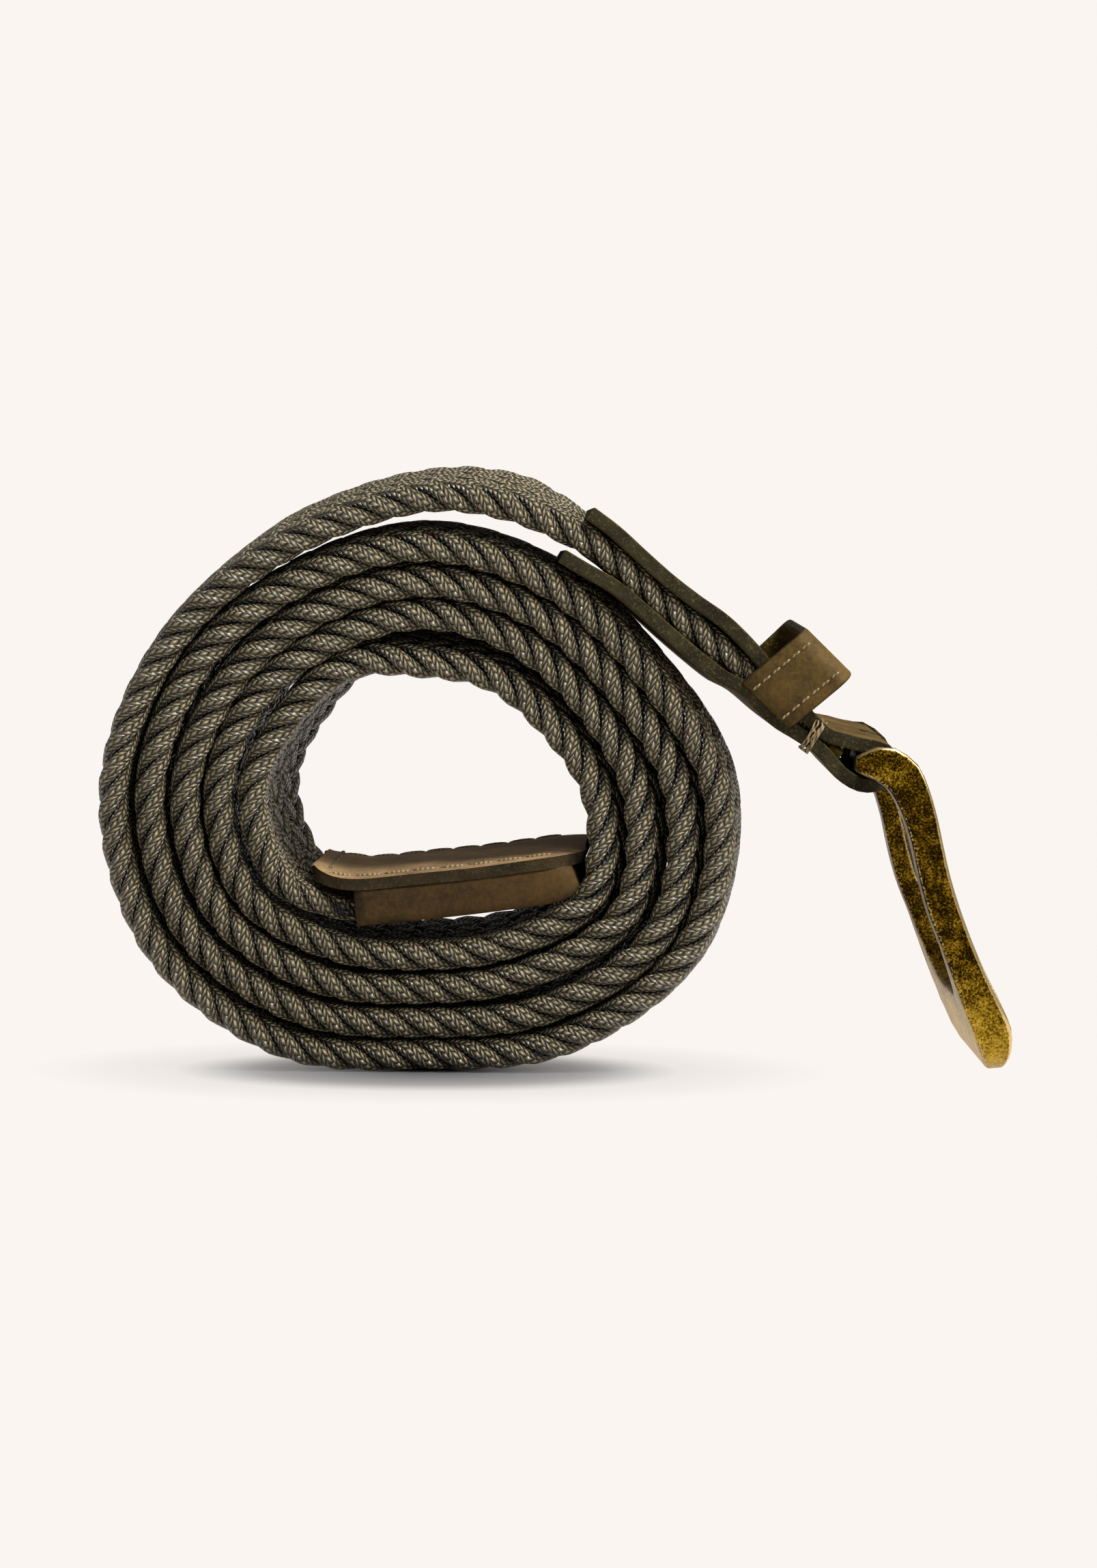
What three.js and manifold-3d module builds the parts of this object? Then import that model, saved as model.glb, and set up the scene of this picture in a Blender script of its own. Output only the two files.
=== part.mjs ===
// A braided elastic belt, rolled up and standing on the edges of its turns.
// The strap winds outwards from a leather tip in the middle to a leather tab at the top right,
// where a brass frame buckle with a prong hangs from the fold and touches the ground.
//
// Millimetres, +Z up. X runs along the rolled belt and Y across the strap. Lengths along X and Z
// are given for the edges of the strap that lie at Y = FRONT.

import * as THREE from "three";
import { mergeVertices } from "three/addons/utils/BufferGeometryUtils.js";
import Module from "manifold-3d";

const wasm = await Module();
wasm.setup();

// Driving dimensions
const STRAP_WIDTH = 34;
const STRAP_THICKNESS = 4.2;
const FRONT = -STRAP_WIDTH / 2;
const COIL_CENTRE = { x: -20.4, z: 43 };
const GROUND = 0.42;
const FIT = 0.3;

const TIP_STRAP_THICKNESS = 3;
const TIP_STRAP_WIDTH = 32;
const SLEEVE_WALL = 1;
const SLEEVE_WIDTH = TIP_STRAP_WIDTH + 2 * (FIT + SLEEVE_WALL);
const TIP_TAB_THICKNESS = 1.2;
const TIP_TAB_WIDTH = 34.8;
const TIP_TAB_CORNER = 6;

const TAB_THICKNESS = 2.2;
const KEEPER_LENGTH = 10.2;
const KEEPER_HEIGHT = 13.4;
const KEEPER_THICKNESS = 1.5;
const KEEPER_INSIDE_WIDTH = STRAP_WIDTH + 2 * FIT;

const HINGE = { x: 48.7, z: 47.9 };
const HINGE_BAR_RADIUS = 1.8;
const BUCKLE_TURN = 0.095;
const FRAME_WIDTH = 48;
const WINDOW_WIDTH = 38;
const END_BAR_WIDTH = 11.7;
const FRAME_CORNER = 9;
const WINDOW_CORNER = 8;
const FRAME_BEVEL = 0.6;

const PRONG_WIDTH = 3.2;
const PRONG_THICKNESS = 1.9;
const PRONG_EYE_WIDTH = 4;
const PRONG_EYE_RADIUS = 3.4;
const PRONG_SLOT_WIDTH = PRONG_EYE_WIDTH + 1.4;
const PRONG_SLOT_LENGTH = 12;
const PRONG_SLOT_HEIGHT = 16;
const PRONG_SLOT_SHIFT = 2.2;
const NOTCH_WIDTH = 4.4;

// Where the middle of the bounding box lies, so that the finished belt stands on its origin
const BELT_MIDDLE = { x: 0.03, y: 0.79 };

// Radius of the strap's middle line around the coil's centre, at clock angles seen from the front.
// One column for each turn, from the inside out.
const COIL = [
  { clock: 0, turn1: 19.7, turn2: 27.1, turn3: 32.0, turn4: 37.4, turn5: 45.5 },
  { clock: 30, turn1: 20.4, turn2: 27.0, turn3: 32.1, turn4: 37.5 },
  { clock: 60, turn1: 21.8, turn2: 28.1, turn3: 33.4, turn4: 38.4 },
  { clock: 90, turn1: 26.3, turn2: 32.1, turn3: 38.6, turn4: 44.8 },
  { clock: 120, turn1: 29.9, turn2: 35.2, turn3: 41.5, turn4: 46.7 },
  { clock: 150, turn1: 26.1, turn2: 31.5, turn3: 37.8, turn4: 43.6 },
  { clock: 180, turn1: 24.9, turn2: 30.1, turn3: 35.5, turn4: 40.6 },
  { clock: 210, turn1: 26.9, turn2: 32.9, turn3: 37.8, turn4: 43.4 },
  { clock: 240, turn0: 25.7, turn1: 31.2, turn2: 36.2, turn3: 41.6, turn4: 46.9 },
  { clock: 270, turn0: 26.3, turn1: 31.3, turn2: 36.4, turn3: 41.8, turn4: 47.6 },
  { clock: 300, turn0: 23.3, turn1: 29.2, turn2: 33.9, turn3: 39.4, turn4: 45.0 },
  { clock: 330, turn0: 21.6, turn1: 27.0, turn2: 31.9, turn3: 37.5, turn4: 44.1 },
];

// How far the strap's back edge stands outside its front edge, where the turns don't stand square
const LEANS = {
  "turn0 240": -1.2,
  "turn0 270": -1.5,
  "turn0 300": -1.3,
  "turn0 330": -0.6,
  "turn4 330": 0.5,
  "turn5 0": 0.9,
};

// The strap before the coil, inside the leather tip, and after it, between the tab's two layers
const STRAP_START = [
  { x: -1.4, z: 28.65, thick: TIP_STRAP_THICKNESS, wide: TIP_STRAP_WIDTH, lean: 0 },
  { x: -12.0, z: 27.2, thick: TIP_STRAP_THICKNESS, wide: TIP_STRAP_WIDTH, lean: 0 },
  { x: -24.0, z: 25.85, thick: TIP_STRAP_THICKNESS, wide: TIP_STRAP_WIDTH, lean: 0 },
  { x: -31.5, z: 25.1, thick: TIP_STRAP_THICKNESS, wide: TIP_STRAP_WIDTH, lean: 0 },
  { x: -37.7, z: 26.9, thick: 3.8, wide: STRAP_WIDTH, lean: -0.5 },
];
const STRAP_END = [
  { x: 2.8, z: 83.4, thick: 3.8, wide: STRAP_WIDTH, lean: -0.2 },
  { x: 6.9, z: 80.9, thick: 3.1, wide: STRAP_WIDTH, lean: -0.6 },
  { x: 15.3, z: 73.7, thick: 2.6, wide: STRAP_WIDTH, lean: -0.75 },
  { x: 23.7, z: 67.1, thick: 3.1, wide: STRAP_WIDTH, lean: -0.85 },
  { x: 27.1, z: 64.4, thick: 2.6, wide: STRAP_WIDTH, lean: -0.9 },
];

// Middle line of the leather sleeve over the strap's inner end, and of the stitched piece on it
const SLEEVE = [
  { x: -30.8, z: 25.15, thick: 5.6, wide: SLEEVE_WIDTH },
  { x: -12.0, z: 27.2, thick: 5.4, wide: SLEEVE_WIDTH },
  { x: -1.5, z: 28.7, thick: 5.4, wide: SLEEVE_WIDTH },
  { x: 0.8, z: 29.5, thick: 3.8, wide: SLEEVE_WIDTH - 0.6 },
  { x: 2.3, z: 30.1, thick: 2.6, wide: SLEEVE_WIDTH - 1.8 },
];
const SLEEVE_HOLLOW = [
  { x: -32.0, z: 25.0, thick: 3.6, wide: TIP_STRAP_WIDTH + 2 * FIT },
  { x: -12.0, z: 27.2, thick: 3.6, wide: TIP_STRAP_WIDTH + 2 * FIT },
  { x: -1.0, z: 28.75, thick: 3.6, wide: TIP_STRAP_WIDTH + 2 * FIT },
];
const TIP_TAB = [
  { x: -37.6, z: 30.7, thick: TIP_TAB_THICKNESS, wide: TIP_TAB_WIDTH },
  { x: -34.4, z: 29.3, thick: TIP_TAB_THICKNESS, wide: TIP_TAB_WIDTH },
  { x: -30.8, z: 28.9, thick: TIP_TAB_THICKNESS, wide: TIP_TAB_WIDTH },
  { x: -21.0, z: 29.95, thick: TIP_TAB_THICKNESS, wide: TIP_TAB_WIDTH },
  { x: -12.0, z: 30.9, thick: TIP_TAB_THICKNESS, wide: TIP_TAB_WIDTH },
  { x: -1.5, z: 32.4, thick: TIP_TAB_THICKNESS, wide: TIP_TAB_WIDTH },
  { x: 4.0, z: 33.0, thick: TIP_TAB_THICKNESS, wide: TIP_TAB_WIDTH },
];

// Middle line of the tab: the upper layer from the coil to the seam, and the lower layer back again
const TAB_UPPER = [
  { x: 5.2, z: 86.2 },
  { x: 9.1, z: 83.3 },
  { x: 13.3, z: 79.5 },
  { x: 17.4, z: 75.9 },
  { x: 21.6, z: 72.7 },
  { x: 25.8, z: 69.75 },
  { x: 30.2, z: 65.4 },
  { x: 33.9, z: 60.6 },
  { x: 37.4, z: 56.9 },
  { x: 40.6, z: 53.9 },
  { x: 43.4, z: 51.9 },
  { x: 46.2, z: 51.4 },
];
const TAB_LOWER = [
  { x: 46.2, z: 45.0 },
  { x: 43.3, z: 46.6 },
  { x: 41.2, z: 48.4 },
  { x: 38.8, z: 50.3 },
  { x: 35.4, z: 52.4 },
  { x: 33.2, z: 54.2 },
  { x: 28.0, z: 59.4 },
  { x: 25.8, z: 61.2 },
  { x: 21.6, z: 64.4 },
  { x: 17.4, z: 67.9 },
  { x: 13.2, z: 71.6 },
  { x: 9.0, z: 75.0 },
  { x: 4.8, z: 77.4 },
  { x: 0.9, z: 79.7 },
];

// How far each millimetre of width carries the tab's leather back towards the coil: the tab twists
// from the coil's line into the buckle's
const TAB_TURN = [
  { x: 0, turn: 0.025 },
  { x: 34, turn: 0.045 },
  { x: 45, turn: BUCKLE_TURN },
];

// The keeper's near lower corner, and the directions of its length and height on the tab
const KEEPER_CORNER = { x: 28.9, z: 60.5 };
const KEEPER_ALONG = { x: 0.712, z: -0.702 };
const KEEPER_UP = { x: 0.766, z: 0.643 };

// Side view of the buckle's frame from the hinge bar to the end bar
const FRAME_PROFILE = [
  { x: 47.0, z: 48.1, thick: 3.0 },
  { x: 48.9, z: 47.8, thick: 4.0 },
  { x: 51.0, z: 47.0, thick: 5.2 },
  { x: 53.3, z: 45.3, thick: 5.4 },
  { x: 54.9, z: 42.6, thick: 5.2 },
  { x: 55.8, z: 39.5, thick: 5.0 },
  { x: 57.0, z: 35.1, thick: 4.6 },
  { x: 59.2, z: 27.2, thick: 4.2 },
  { x: 62.0, z: 19.7, thick: 4.0 },
  { x: 65.0, z: 12.4, thick: 4.6 },
  { x: 66.6, z: 8.4, thick: 4.9 },
  { x: 67.6, z: 4.7, thick: 4.7 },
  { x: 68.2, z: 1.0, thick: 2.8 },
];
const PRONG_PROFILE = [
  { x: 51.65, z: 49.1, thick: PRONG_THICKNESS, wide: PRONG_WIDTH },
  { x: 58.7, z: 31.9, thick: PRONG_THICKNESS, wide: PRONG_WIDTH },
  { x: 65.8, z: 15.1, thick: PRONG_THICKNESS, wide: PRONG_WIDTH },
  { x: 67.6, z: 10.6, thick: PRONG_THICKNESS, wide: PRONG_WIDTH - 0.4 },
  { x: 68.3, z: 8.9, thick: 1.2, wide: PRONG_WIDTH - 1.4 },
];

const BRAID = new THREE.MeshStandardMaterial({ color: 0x6f6757, roughness: 0.75, metalness: 0 });
const LEATHER = new THREE.MeshStandardMaterial({ color: 0x6d5a36, roughness: 0.6, metalness: 0 });
const BRASS = new THREE.MeshStandardMaterial({ color: 0x9a7a2c, roughness: 0.4, metalness: 1 });

// A smooth line through rows of points, which also blends the rows' other columns
class Line {
  constructor(rows) {
    this.rows = rows;
    const points = rows.map((row) => new THREE.Vector3(row.x, 0, row.z));
    this.curve = new THREE.CatmullRomCurve3(points, false, "centripetal");
    this.stops = [0];
    for (let i = 1; i < points.length; i += 1) {
      this.stops.push(this.stops[i - 1] + points[i].distanceTo(points[i - 1]));
    }
    this.length = this.stops.at(-1);
  }

  at(distance) {
    const last = this.rows.length - 2;
    const found = this.stops.findIndex((stop) => stop > distance) - 1;
    const i = found < 0 ? last : Math.min(found, last);
    const share = (distance - this.stops[i]) / (this.stops[i + 1] - this.stops[i]);
    const t = Math.min(1, (i + share) / (this.rows.length - 1));
    const column = (name) => {
      const from = this.rows[i][name] ?? 0;
      const to = this.rows[i + 1][name] ?? 0;
      return THREE.MathUtils.lerp(from, to, share);
    };
    return { point: this.curve.getPoint(t), tangent: this.curve.getTangent(t), column };
  }
}

// How much a rounded end takes off each side of a strip, at a distance from that end
function cornerCut(distance, radius) {
  const inside = Math.max(0, radius - Math.max(0, distance));
  return radius - Math.sqrt(radius ** 2 - inside ** 2);
}

// Even steps along a strip, with closer ones where an end is rounded
function stationsOf(length, step, startRadius, endRadius) {
  const stations = new Set();
  const steps = Math.ceil(length / step);
  for (let i = 0; i <= steps; i += 1) stations.add((length * i) / steps);
  for (let i = 1; i < 4; i += 1) {
    const near = 1 - Math.cos((i * Math.PI) / 8);
    if (startRadius) stations.add(startRadius * near);
    if (endRadius) stations.add(length - endRadius * near);
  }
  const sorted = [...stations].sort((a, b) => a - b);
  return sorted.filter((s, i) => i === 0 || s - sorted[i - 1] > 0.05);
}

// Eight corners of a strip's cross-section: an oblong with its long edges cut off
function sectionOf(width, thickness, bevel) {
  const w = width / 2;
  const h = thickness / 2;
  return [
    { y: -w + bevel, out: h },
    { y: w - bevel, out: h },
    { y: w, out: h - bevel },
    { y: w, out: -h + bevel },
    { y: w - bevel, out: -h },
    { y: -w + bevel, out: -h },
    { y: -w, out: -h + bevel },
    { y: -w, out: h - bevel },
  ];
}

// A closed skin over rings of points, with its faces pointing out
function skin(rings) {
  const triangles = [];
  const count = rings[0].length;
  for (let i = 1; i < rings.length; i += 1) {
    for (let j = 0; j < count; j += 1) {
      const next = (j + 1) % count;
      triangles.push([rings[i - 1][j], rings[i][j], rings[i][next]]);
      triangles.push([rings[i - 1][j], rings[i][next], rings[i - 1][next]]);
    }
  }
  const first = rings[0];
  const last = rings.at(-1);
  for (let j = 2; j < count; j += 1) {
    triangles.push([first[0], first[j - 1], first[j]]);
    triangles.push([last[0], last[j], last[j - 1]]);
  }
  return facingOut(new THREE.BufferGeometry().setFromPoints(triangles.flat()));
}

// The same geometry, turned inside out if its faces point in
function facingOut(geometry) {
  const flat = geometry.index ? geometry.toNonIndexed() : geometry;
  const place = flat.attributes.position;
  const corner = (i) => new THREE.Vector3().fromBufferAttribute(place, i);
  let volume = 0;
  for (let i = 0; i < place.count; i += 3) {
    volume += corner(i).dot(corner(i + 1).cross(corner(i + 2)));
  }
  if (volume > 0) return flat;
  for (let i = 0; i < place.count; i += 3) {
    const b = corner(i + 1);
    const c = corner(i + 2);
    place.setXYZ(i + 1, c.x, c.y, c.z);
    place.setXYZ(i + 2, b.x, b.y, b.z);
  }
  return flat;
}

// A strip along a line. Its thickness stands square to the line, and its width runs along Y.
function strip(rows, { step, bevel = 0.3, startRadius = 0, endRadius = 0 }) {
  const line = new Line(rows);
  const rings = stationsOf(line.length, step, startRadius, endRadius).map((s) => {
    const { point, tangent, column } = line.at(s);
    const outward = new THREE.Vector3(-tangent.z, 0, tangent.x).normalize();
    const cut = cornerCut(s, startRadius) + cornerCut(line.length - s, endRadius);
    const section = sectionOf(column("wide") - 2 * cut, column("thick"), bevel);
    return section.map(({ y, out }) => {
      const lean = (column("lean") * (y - FRONT)) / STRAP_WIDTH;
      const corner = point.clone().addScaledVector(outward, out + lean);
      corner.y = y;
      return corner;
    });
  });
  return skin(rings);
}

// Solids for joining and cutting, and back
function solidOf(geometry) {
  const bare = facingOut(geometry.clone());
  bare.deleteAttribute("normal");
  bare.deleteAttribute("uv");
  const merged = mergeVertices(bare, 1e-4);
  return new wasm.Manifold(
    new wasm.Mesh({
      numProp: 3,
      vertProperties: new Float32Array(merged.attributes.position.array),
      triVerts: new Uint32Array(merged.index.array),
    }),
  );
}

function geometryOf(solid) {
  const mesh = solid.getMesh();
  const geometry = new THREE.BufferGeometry();
  geometry.setAttribute("position", new THREE.BufferAttribute(mesh.vertProperties, 3));
  geometry.setIndex(new THREE.BufferAttribute(mesh.triVerts, 1));
  return geometry;
}

// The coil's table as rows of points, in the order in which the strap runs
function coilRows() {
  const rows = [];
  for (let turn = 0; turn <= 5; turn += 1) {
    for (const row of COIL) {
      const radius = row[`turn${turn}`];
      if (radius === undefined) continue;
      const angle = THREE.MathUtils.degToRad(row.clock);
      rows.push({
        x: COIL_CENTRE.x + radius * Math.sin(angle),
        z: COIL_CENTRE.z + radius * Math.cos(angle),
        thick: STRAP_THICKNESS,
        wide: STRAP_WIDTH,
        lean: LEANS[`turn${turn} ${row.clock}`] ?? 0,
      });
    }
  }
  return rows;
}

// The braided strap from the tip to the tab, pressed flat where it stands on the ground
function wovenStrap() {
  const rows = [...STRAP_START, ...coilRows(), ...STRAP_END];
  const strap = solidOf(strip(rows, { step: 5, bevel: 1.2 }));
  const below = new THREE.BoxGeometry(200, 80, 20);
  below.translate(0, 0, GROUND - 10);
  return geometryOf(strap.subtract(solidOf(below)));
}

// The smooth leather sleeve over the strap's inner end
function tipSleeve() {
  const outside = solidOf(strip(SLEEVE, { step: 6, bevel: 0.9 }));
  const hollow = solidOf(strip(SLEEVE_HOLLOW, { step: 6, bevel: 0.5 }));
  return geometryOf(outside.subtract(hollow));
}

// The stitched leather piece on top of the sleeve
function tipTab() {
  return strip(TIP_TAB, { step: 4, startRadius: TIP_TAB_CORNER, endRadius: 3 });
}

// Moves each point of a geometry along X as the tab's twist carries it
function twistTab(geometry) {
  const place = geometry.attributes.position;
  for (let i = 0; i < place.count; i += 1) {
    const x = place.getX(i);
    const after = TAB_TURN.findIndex((row) => row.x > x);
    const to = after < 0 ? TAB_TURN.length - 1 : Math.max(1, after);
    const share = THREE.MathUtils.clamp(
      (x - TAB_TURN[to - 1].x) / (TAB_TURN[to].x - TAB_TURN[to - 1].x),
      0,
      1,
    );
    const turn = THREE.MathUtils.lerp(TAB_TURN[to - 1].turn, TAB_TURN[to].turn, share);
    place.setX(i, x - turn * (place.getY(i) - FRONT));
  }
  return geometry;
}

// The tab: one strip of leather folded around the hinge bar, with a slot for the prong's eye
function buckleTab() {
  const foldRadius = HINGE_BAR_RADIUS + FIT + 0.1 + TAB_THICKNESS / 2;
  const fold = [90, 45, 0, -45, -90].map((degrees) => {
    const angle = THREE.MathUtils.degToRad(degrees);
    return {
      x: HINGE.x + foldRadius * Math.cos(angle),
      z: HINGE.z + foldRadius * Math.sin(angle),
    };
  });
  const rows = [...TAB_UPPER, ...fold, ...TAB_LOWER].map((row) => ({
    ...row,
    thick: TAB_THICKNESS,
    wide: STRAP_WIDTH,
  }));
  const leather = solidOf(strip(rows, { step: 2 }));
  const slot = new THREE.BoxGeometry(PRONG_SLOT_LENGTH, PRONG_SLOT_WIDTH, PRONG_SLOT_HEIGHT);
  slot.translate(HINGE.x + PRONG_SLOT_SHIFT, 0, HINGE.z);
  return twistTab(geometryOf(leather.subtract(solidOf(slot))));
}

// A closed oblong of the keeper's section, as seen along the tab
function keeperOutline(width, low, high, corner) {
  const w = width / 2;
  const outline = new THREE.Shape();
  outline.moveTo(-w + corner, low);
  outline.lineTo(w - corner, low);
  outline.quadraticCurveTo(w, low, w, low + corner);
  outline.lineTo(w, high - corner);
  outline.quadraticCurveTo(w, high, w - corner, high);
  outline.lineTo(-w + corner, high);
  outline.quadraticCurveTo(-w, high, -w, high - corner);
  outline.lineTo(-w, low + corner);
  outline.quadraticCurveTo(-w, low, -w + corner, low);
  return outline;
}

// The keeper: a leather loop around the tab's upper layer, which leaves room for the belt's tip
function keeperLoop() {
  const outsideWidth = KEEPER_INSIDE_WIDTH + 2 * KEEPER_THICKNESS;
  const loop = keeperOutline(outsideWidth, FIT, KEEPER_HEIGHT, 2);
  const insideTop = KEEPER_HEIGHT - KEEPER_THICKNESS;
  loop.holes.push(keeperOutline(KEEPER_INSIDE_WIDTH, FIT + KEEPER_THICKNESS, insideTop, 0.8));
  const geometry = new THREE.ExtrudeGeometry(loop, {
    depth: KEEPER_LENGTH,
    steps: 2,
    bevelEnabled: false,
    curveSegments: 3,
  });
  const { x: alongX, z: alongZ } = KEEPER_ALONG;
  const { x: upX, z: upZ } = KEEPER_UP;
  const place = new THREE.Matrix4().set(
    0, upX, alongX, KEEPER_CORNER.x,
    1, 0, 0, 0,
    0, upZ, alongZ, KEEPER_CORNER.z,
    0, 0, 0, 1,
  );
  geometry.applyMatrix4(place);
  return twistTab(geometryOf(solidOf(geometry)));
}

// A round bar or eye around the hinge line
function hingeCylinder(radius, width) {
  return new THREE.CylinderGeometry(radius, radius, width, 16);
}

// Rows of a side view, measured from the hinge line
function fromHinge(rows) {
  return rows.map((row) => ({ ...row, x: row.x - HINGE.x, z: row.z - HINGE.z }));
}

// The buckle's frame: a bent plate with a window, closed by the hinge bar
function buckleFrame() {
  const rows = fromHinge(FRAME_PROFILE).map((row) => ({ ...row, wide: FRAME_WIDTH }));
  const plate = solidOf(strip(rows, { step: 2.6, bevel: FRAME_BEVEL, endRadius: FRAME_CORNER }));

  const line = new Line(rows);
  const windowRows = [{ x: -8, z: 1.2 }];
  for (const stop of line.stops.filter((s) => s < line.length - END_BAR_WIDTH - 3)) {
    windowRows.push(line.at(stop).point);
  }
  windowRows.push(line.at(line.length - END_BAR_WIDTH).point);
  const cutter = windowRows.map(({ x, z }) => ({ x, z, thick: 9, wide: WINDOW_WIDTH }));
  const opening = solidOf(strip(cutter, { step: 2.6, bevel: 0.1, endRadius: WINDOW_CORNER }));

  const bar = solidOf(hingeCylinder(HINGE_BAR_RADIUS, WINDOW_WIDTH + 3));
  return geometryOf(plate.subtract(opening).add(bar).subtract(notchCutter()));
}

// The notch across the end bar's front, in which the prong's point lies
function notchCutter() {
  const [, , from, to] = fromHinge(PRONG_PROFILE);
  const slope = Math.atan2(to.z - from.z, to.x - from.x);
  const depth = PRONG_THICKNESS / 2 + FIT;
  const notch = new THREE.BoxGeometry(14, NOTCH_WIDTH, depth + 3);
  notch.translate(0, 0, (3 - depth) / 2);
  notch.rotateY(-slope);
  notch.translate((from.x + to.x) / 2, 0, (from.z + to.z) / 2);
  return solidOf(notch);
}

// The prong: an eye around the hinge bar and a bar that rests in the notch
function prong() {
  const shank = solidOf(strip(fromHinge(PRONG_PROFILE), { step: 5, bevel: 0.4 }));
  const eye = solidOf(hingeCylinder(PRONG_EYE_RADIUS, PRONG_EYE_WIDTH));
  const bore = solidOf(hingeCylinder(HINGE_BAR_RADIUS + FIT, PRONG_EYE_WIDTH + 2));
  return geometryOf(shank.add(eye).subtract(bore));
}

function named(name, geometry, material) {
  const mesh = new THREE.Mesh(geometry, material);
  mesh.name = name;
  return mesh;
}

// The buckle hangs from the hinge bar, turned a little about the vertical
const buckle = new THREE.Group();
buckle.add(named("buckle_frame", buckleFrame(), BRASS));
buckle.add(named("prong", prong(), BRASS));
buckle.rotation.z = Math.atan(BUCKLE_TURN);
buckle.position.set(HINGE.x + BUCKLE_TURN * FRONT, 0, HINGE.z);

const belt = new THREE.Group();
belt.add(named("woven_strap", wovenStrap(), BRAID));
belt.add(named("tip_sleeve", tipSleeve(), LEATHER));
belt.add(named("tip_tab", tipTab(), LEATHER));
belt.add(named("buckle_tab", buckleTab(), LEATHER));
belt.add(named("keeper_loop", keeperLoop(), LEATHER));
belt.add(buckle);
belt.position.set(-BELT_MIDDLE.x, -BELT_MIDDLE.y, -GROUND);

export default belt;
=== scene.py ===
from math import asin, cos, pi, radians, sin

import bpy
import bmesh
import numpy as np
from mathutils import Matrix, Vector


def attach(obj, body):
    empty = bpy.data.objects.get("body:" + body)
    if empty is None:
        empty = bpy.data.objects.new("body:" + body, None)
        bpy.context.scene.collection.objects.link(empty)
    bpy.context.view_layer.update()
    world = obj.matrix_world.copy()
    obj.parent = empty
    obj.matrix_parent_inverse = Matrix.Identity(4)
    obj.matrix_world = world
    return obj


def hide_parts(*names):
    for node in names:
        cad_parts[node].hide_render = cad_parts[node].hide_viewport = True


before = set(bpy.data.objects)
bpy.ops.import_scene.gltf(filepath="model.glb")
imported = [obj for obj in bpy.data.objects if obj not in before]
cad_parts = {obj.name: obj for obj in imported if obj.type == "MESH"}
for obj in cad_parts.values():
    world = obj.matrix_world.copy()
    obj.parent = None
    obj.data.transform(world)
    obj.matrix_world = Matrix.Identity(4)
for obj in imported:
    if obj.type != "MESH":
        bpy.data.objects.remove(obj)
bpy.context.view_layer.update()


# The studio. The belt stands on a plain pale floor, with a painted shadow under the coil, that fades
# into an even warm white surround.
# A wide soft light hangs high on the right, a weaker one stands in front of it, and a third lights
# the buckle from the right.

# The camera looks from the front, a little from the right and from above.
CAMERA_TARGET = Vector((-0.00113, -0.01779, 0.0448))
CAMERA_DISTANCE = 0.8
CAMERA_AZIMUTH = radians(3)
CAMERA_ELEVATION = radians(5.5)
CAMERA_LENS = 120.1
SURROUND = (0.956, 0.913, 0.880, 1)
SURROUND_LIGHT = 0.2
LIGHT_SIZE = 0.3
LIGHT_AIM = Vector((0, 0, 0.04))


def socket_values(node, **values):
    """Sets inputs of a node by name, with underscores for spaces."""
    for name, value in values.items():
        node.inputs[name.replace("_", " ")].default_value = value
    return node


camera_back = Vector((
    sin(CAMERA_AZIMUTH) * cos(CAMERA_ELEVATION),
    -cos(CAMERA_AZIMUTH) * cos(CAMERA_ELEVATION),
    sin(CAMERA_ELEVATION),
))
camera_data = bpy.data.cameras.new("camera")
camera_data.sensor_width = 36
camera_data.lens = CAMERA_LENS
camera_data.clip_start = 0.01
camera = bpy.data.objects.new("camera", camera_data)
camera.location = CAMERA_TARGET + camera_back * CAMERA_DISTANCE
camera.rotation_euler = camera_back.to_track_quat("Z", "Y").to_euler()
bpy.context.collection.objects.link(camera)
bpy.context.scene.camera = camera
bpy.context.scene.view_settings.view_transform = "Standard"

world = bpy.data.worlds.new("surround")
bpy.context.scene.world = world
world.use_nodes = True
world_nodes = world.node_tree.nodes
world_links = world.node_tree.links
world_nodes.clear()
seen_surround = socket_values(world_nodes.new("ShaderNodeBackground"), Color=SURROUND, Strength=1)
light_surround = world_nodes.new("ShaderNodeBackground")
socket_values(light_surround, Color=(1, 0.98, 0.96, 1), Strength=SURROUND_LIGHT)
light_path = world_nodes.new("ShaderNodeLightPath")
world_mix = world_nodes.new("ShaderNodeMixShader")
world_output = world_nodes.new("ShaderNodeOutputWorld")
world_links.new(light_path.outputs["Is Camera Ray"], world_mix.inputs["Fac"])
world_links.new(light_surround.outputs[0], world_mix.inputs[1])
world_links.new(seen_surround.outputs[0], world_mix.inputs[2])
world_links.new(world_mix.outputs[0], world_output.inputs["Surface"])


def soft_light(name, place, power, colour):
    """A square soft light that faces the belt."""
    data = bpy.data.lights.new(name, "AREA")
    data.size = LIGHT_SIZE
    data.energy = power
    data.color = colour
    lamp = bpy.data.objects.new(name, data)
    lamp.location = place
    lamp.rotation_euler = (Vector(place) - LIGHT_AIM).to_track_quat("Z", "Y").to_euler()
    bpy.context.collection.objects.link(lamp)


soft_light("light_above", place=(0.5, -0.22, 0.85), power=13, colour=(1, 0.98, 0.95))
soft_light("light_front", place=(0.5, -0.8, 0.6), power=3, colour=(1, 0.99, 0.97))
soft_light("light_right", place=(0.9, -0.25, 0.45), power=2, colour=(1, 0.99, 0.98))

# The floor is darkest in an oval under the coil. This is a painted contact shadow, where a dark floor
# shows instead of the even white. Each stop of the fade is the distance from the oval's middle, in
# metres, and the share of even white there.
FLOOR_SIZE = 8
FLOOR_OVAL = (1, 1.8, 1)
FLOOR_MIDDLE = (-0.02, -0.027, 0)
FLOOR_SHADOW_FADE = ((0.006, 0.0), (0.026, 0.3), (0.038, 0.85), (0.062, 1.0))

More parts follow.
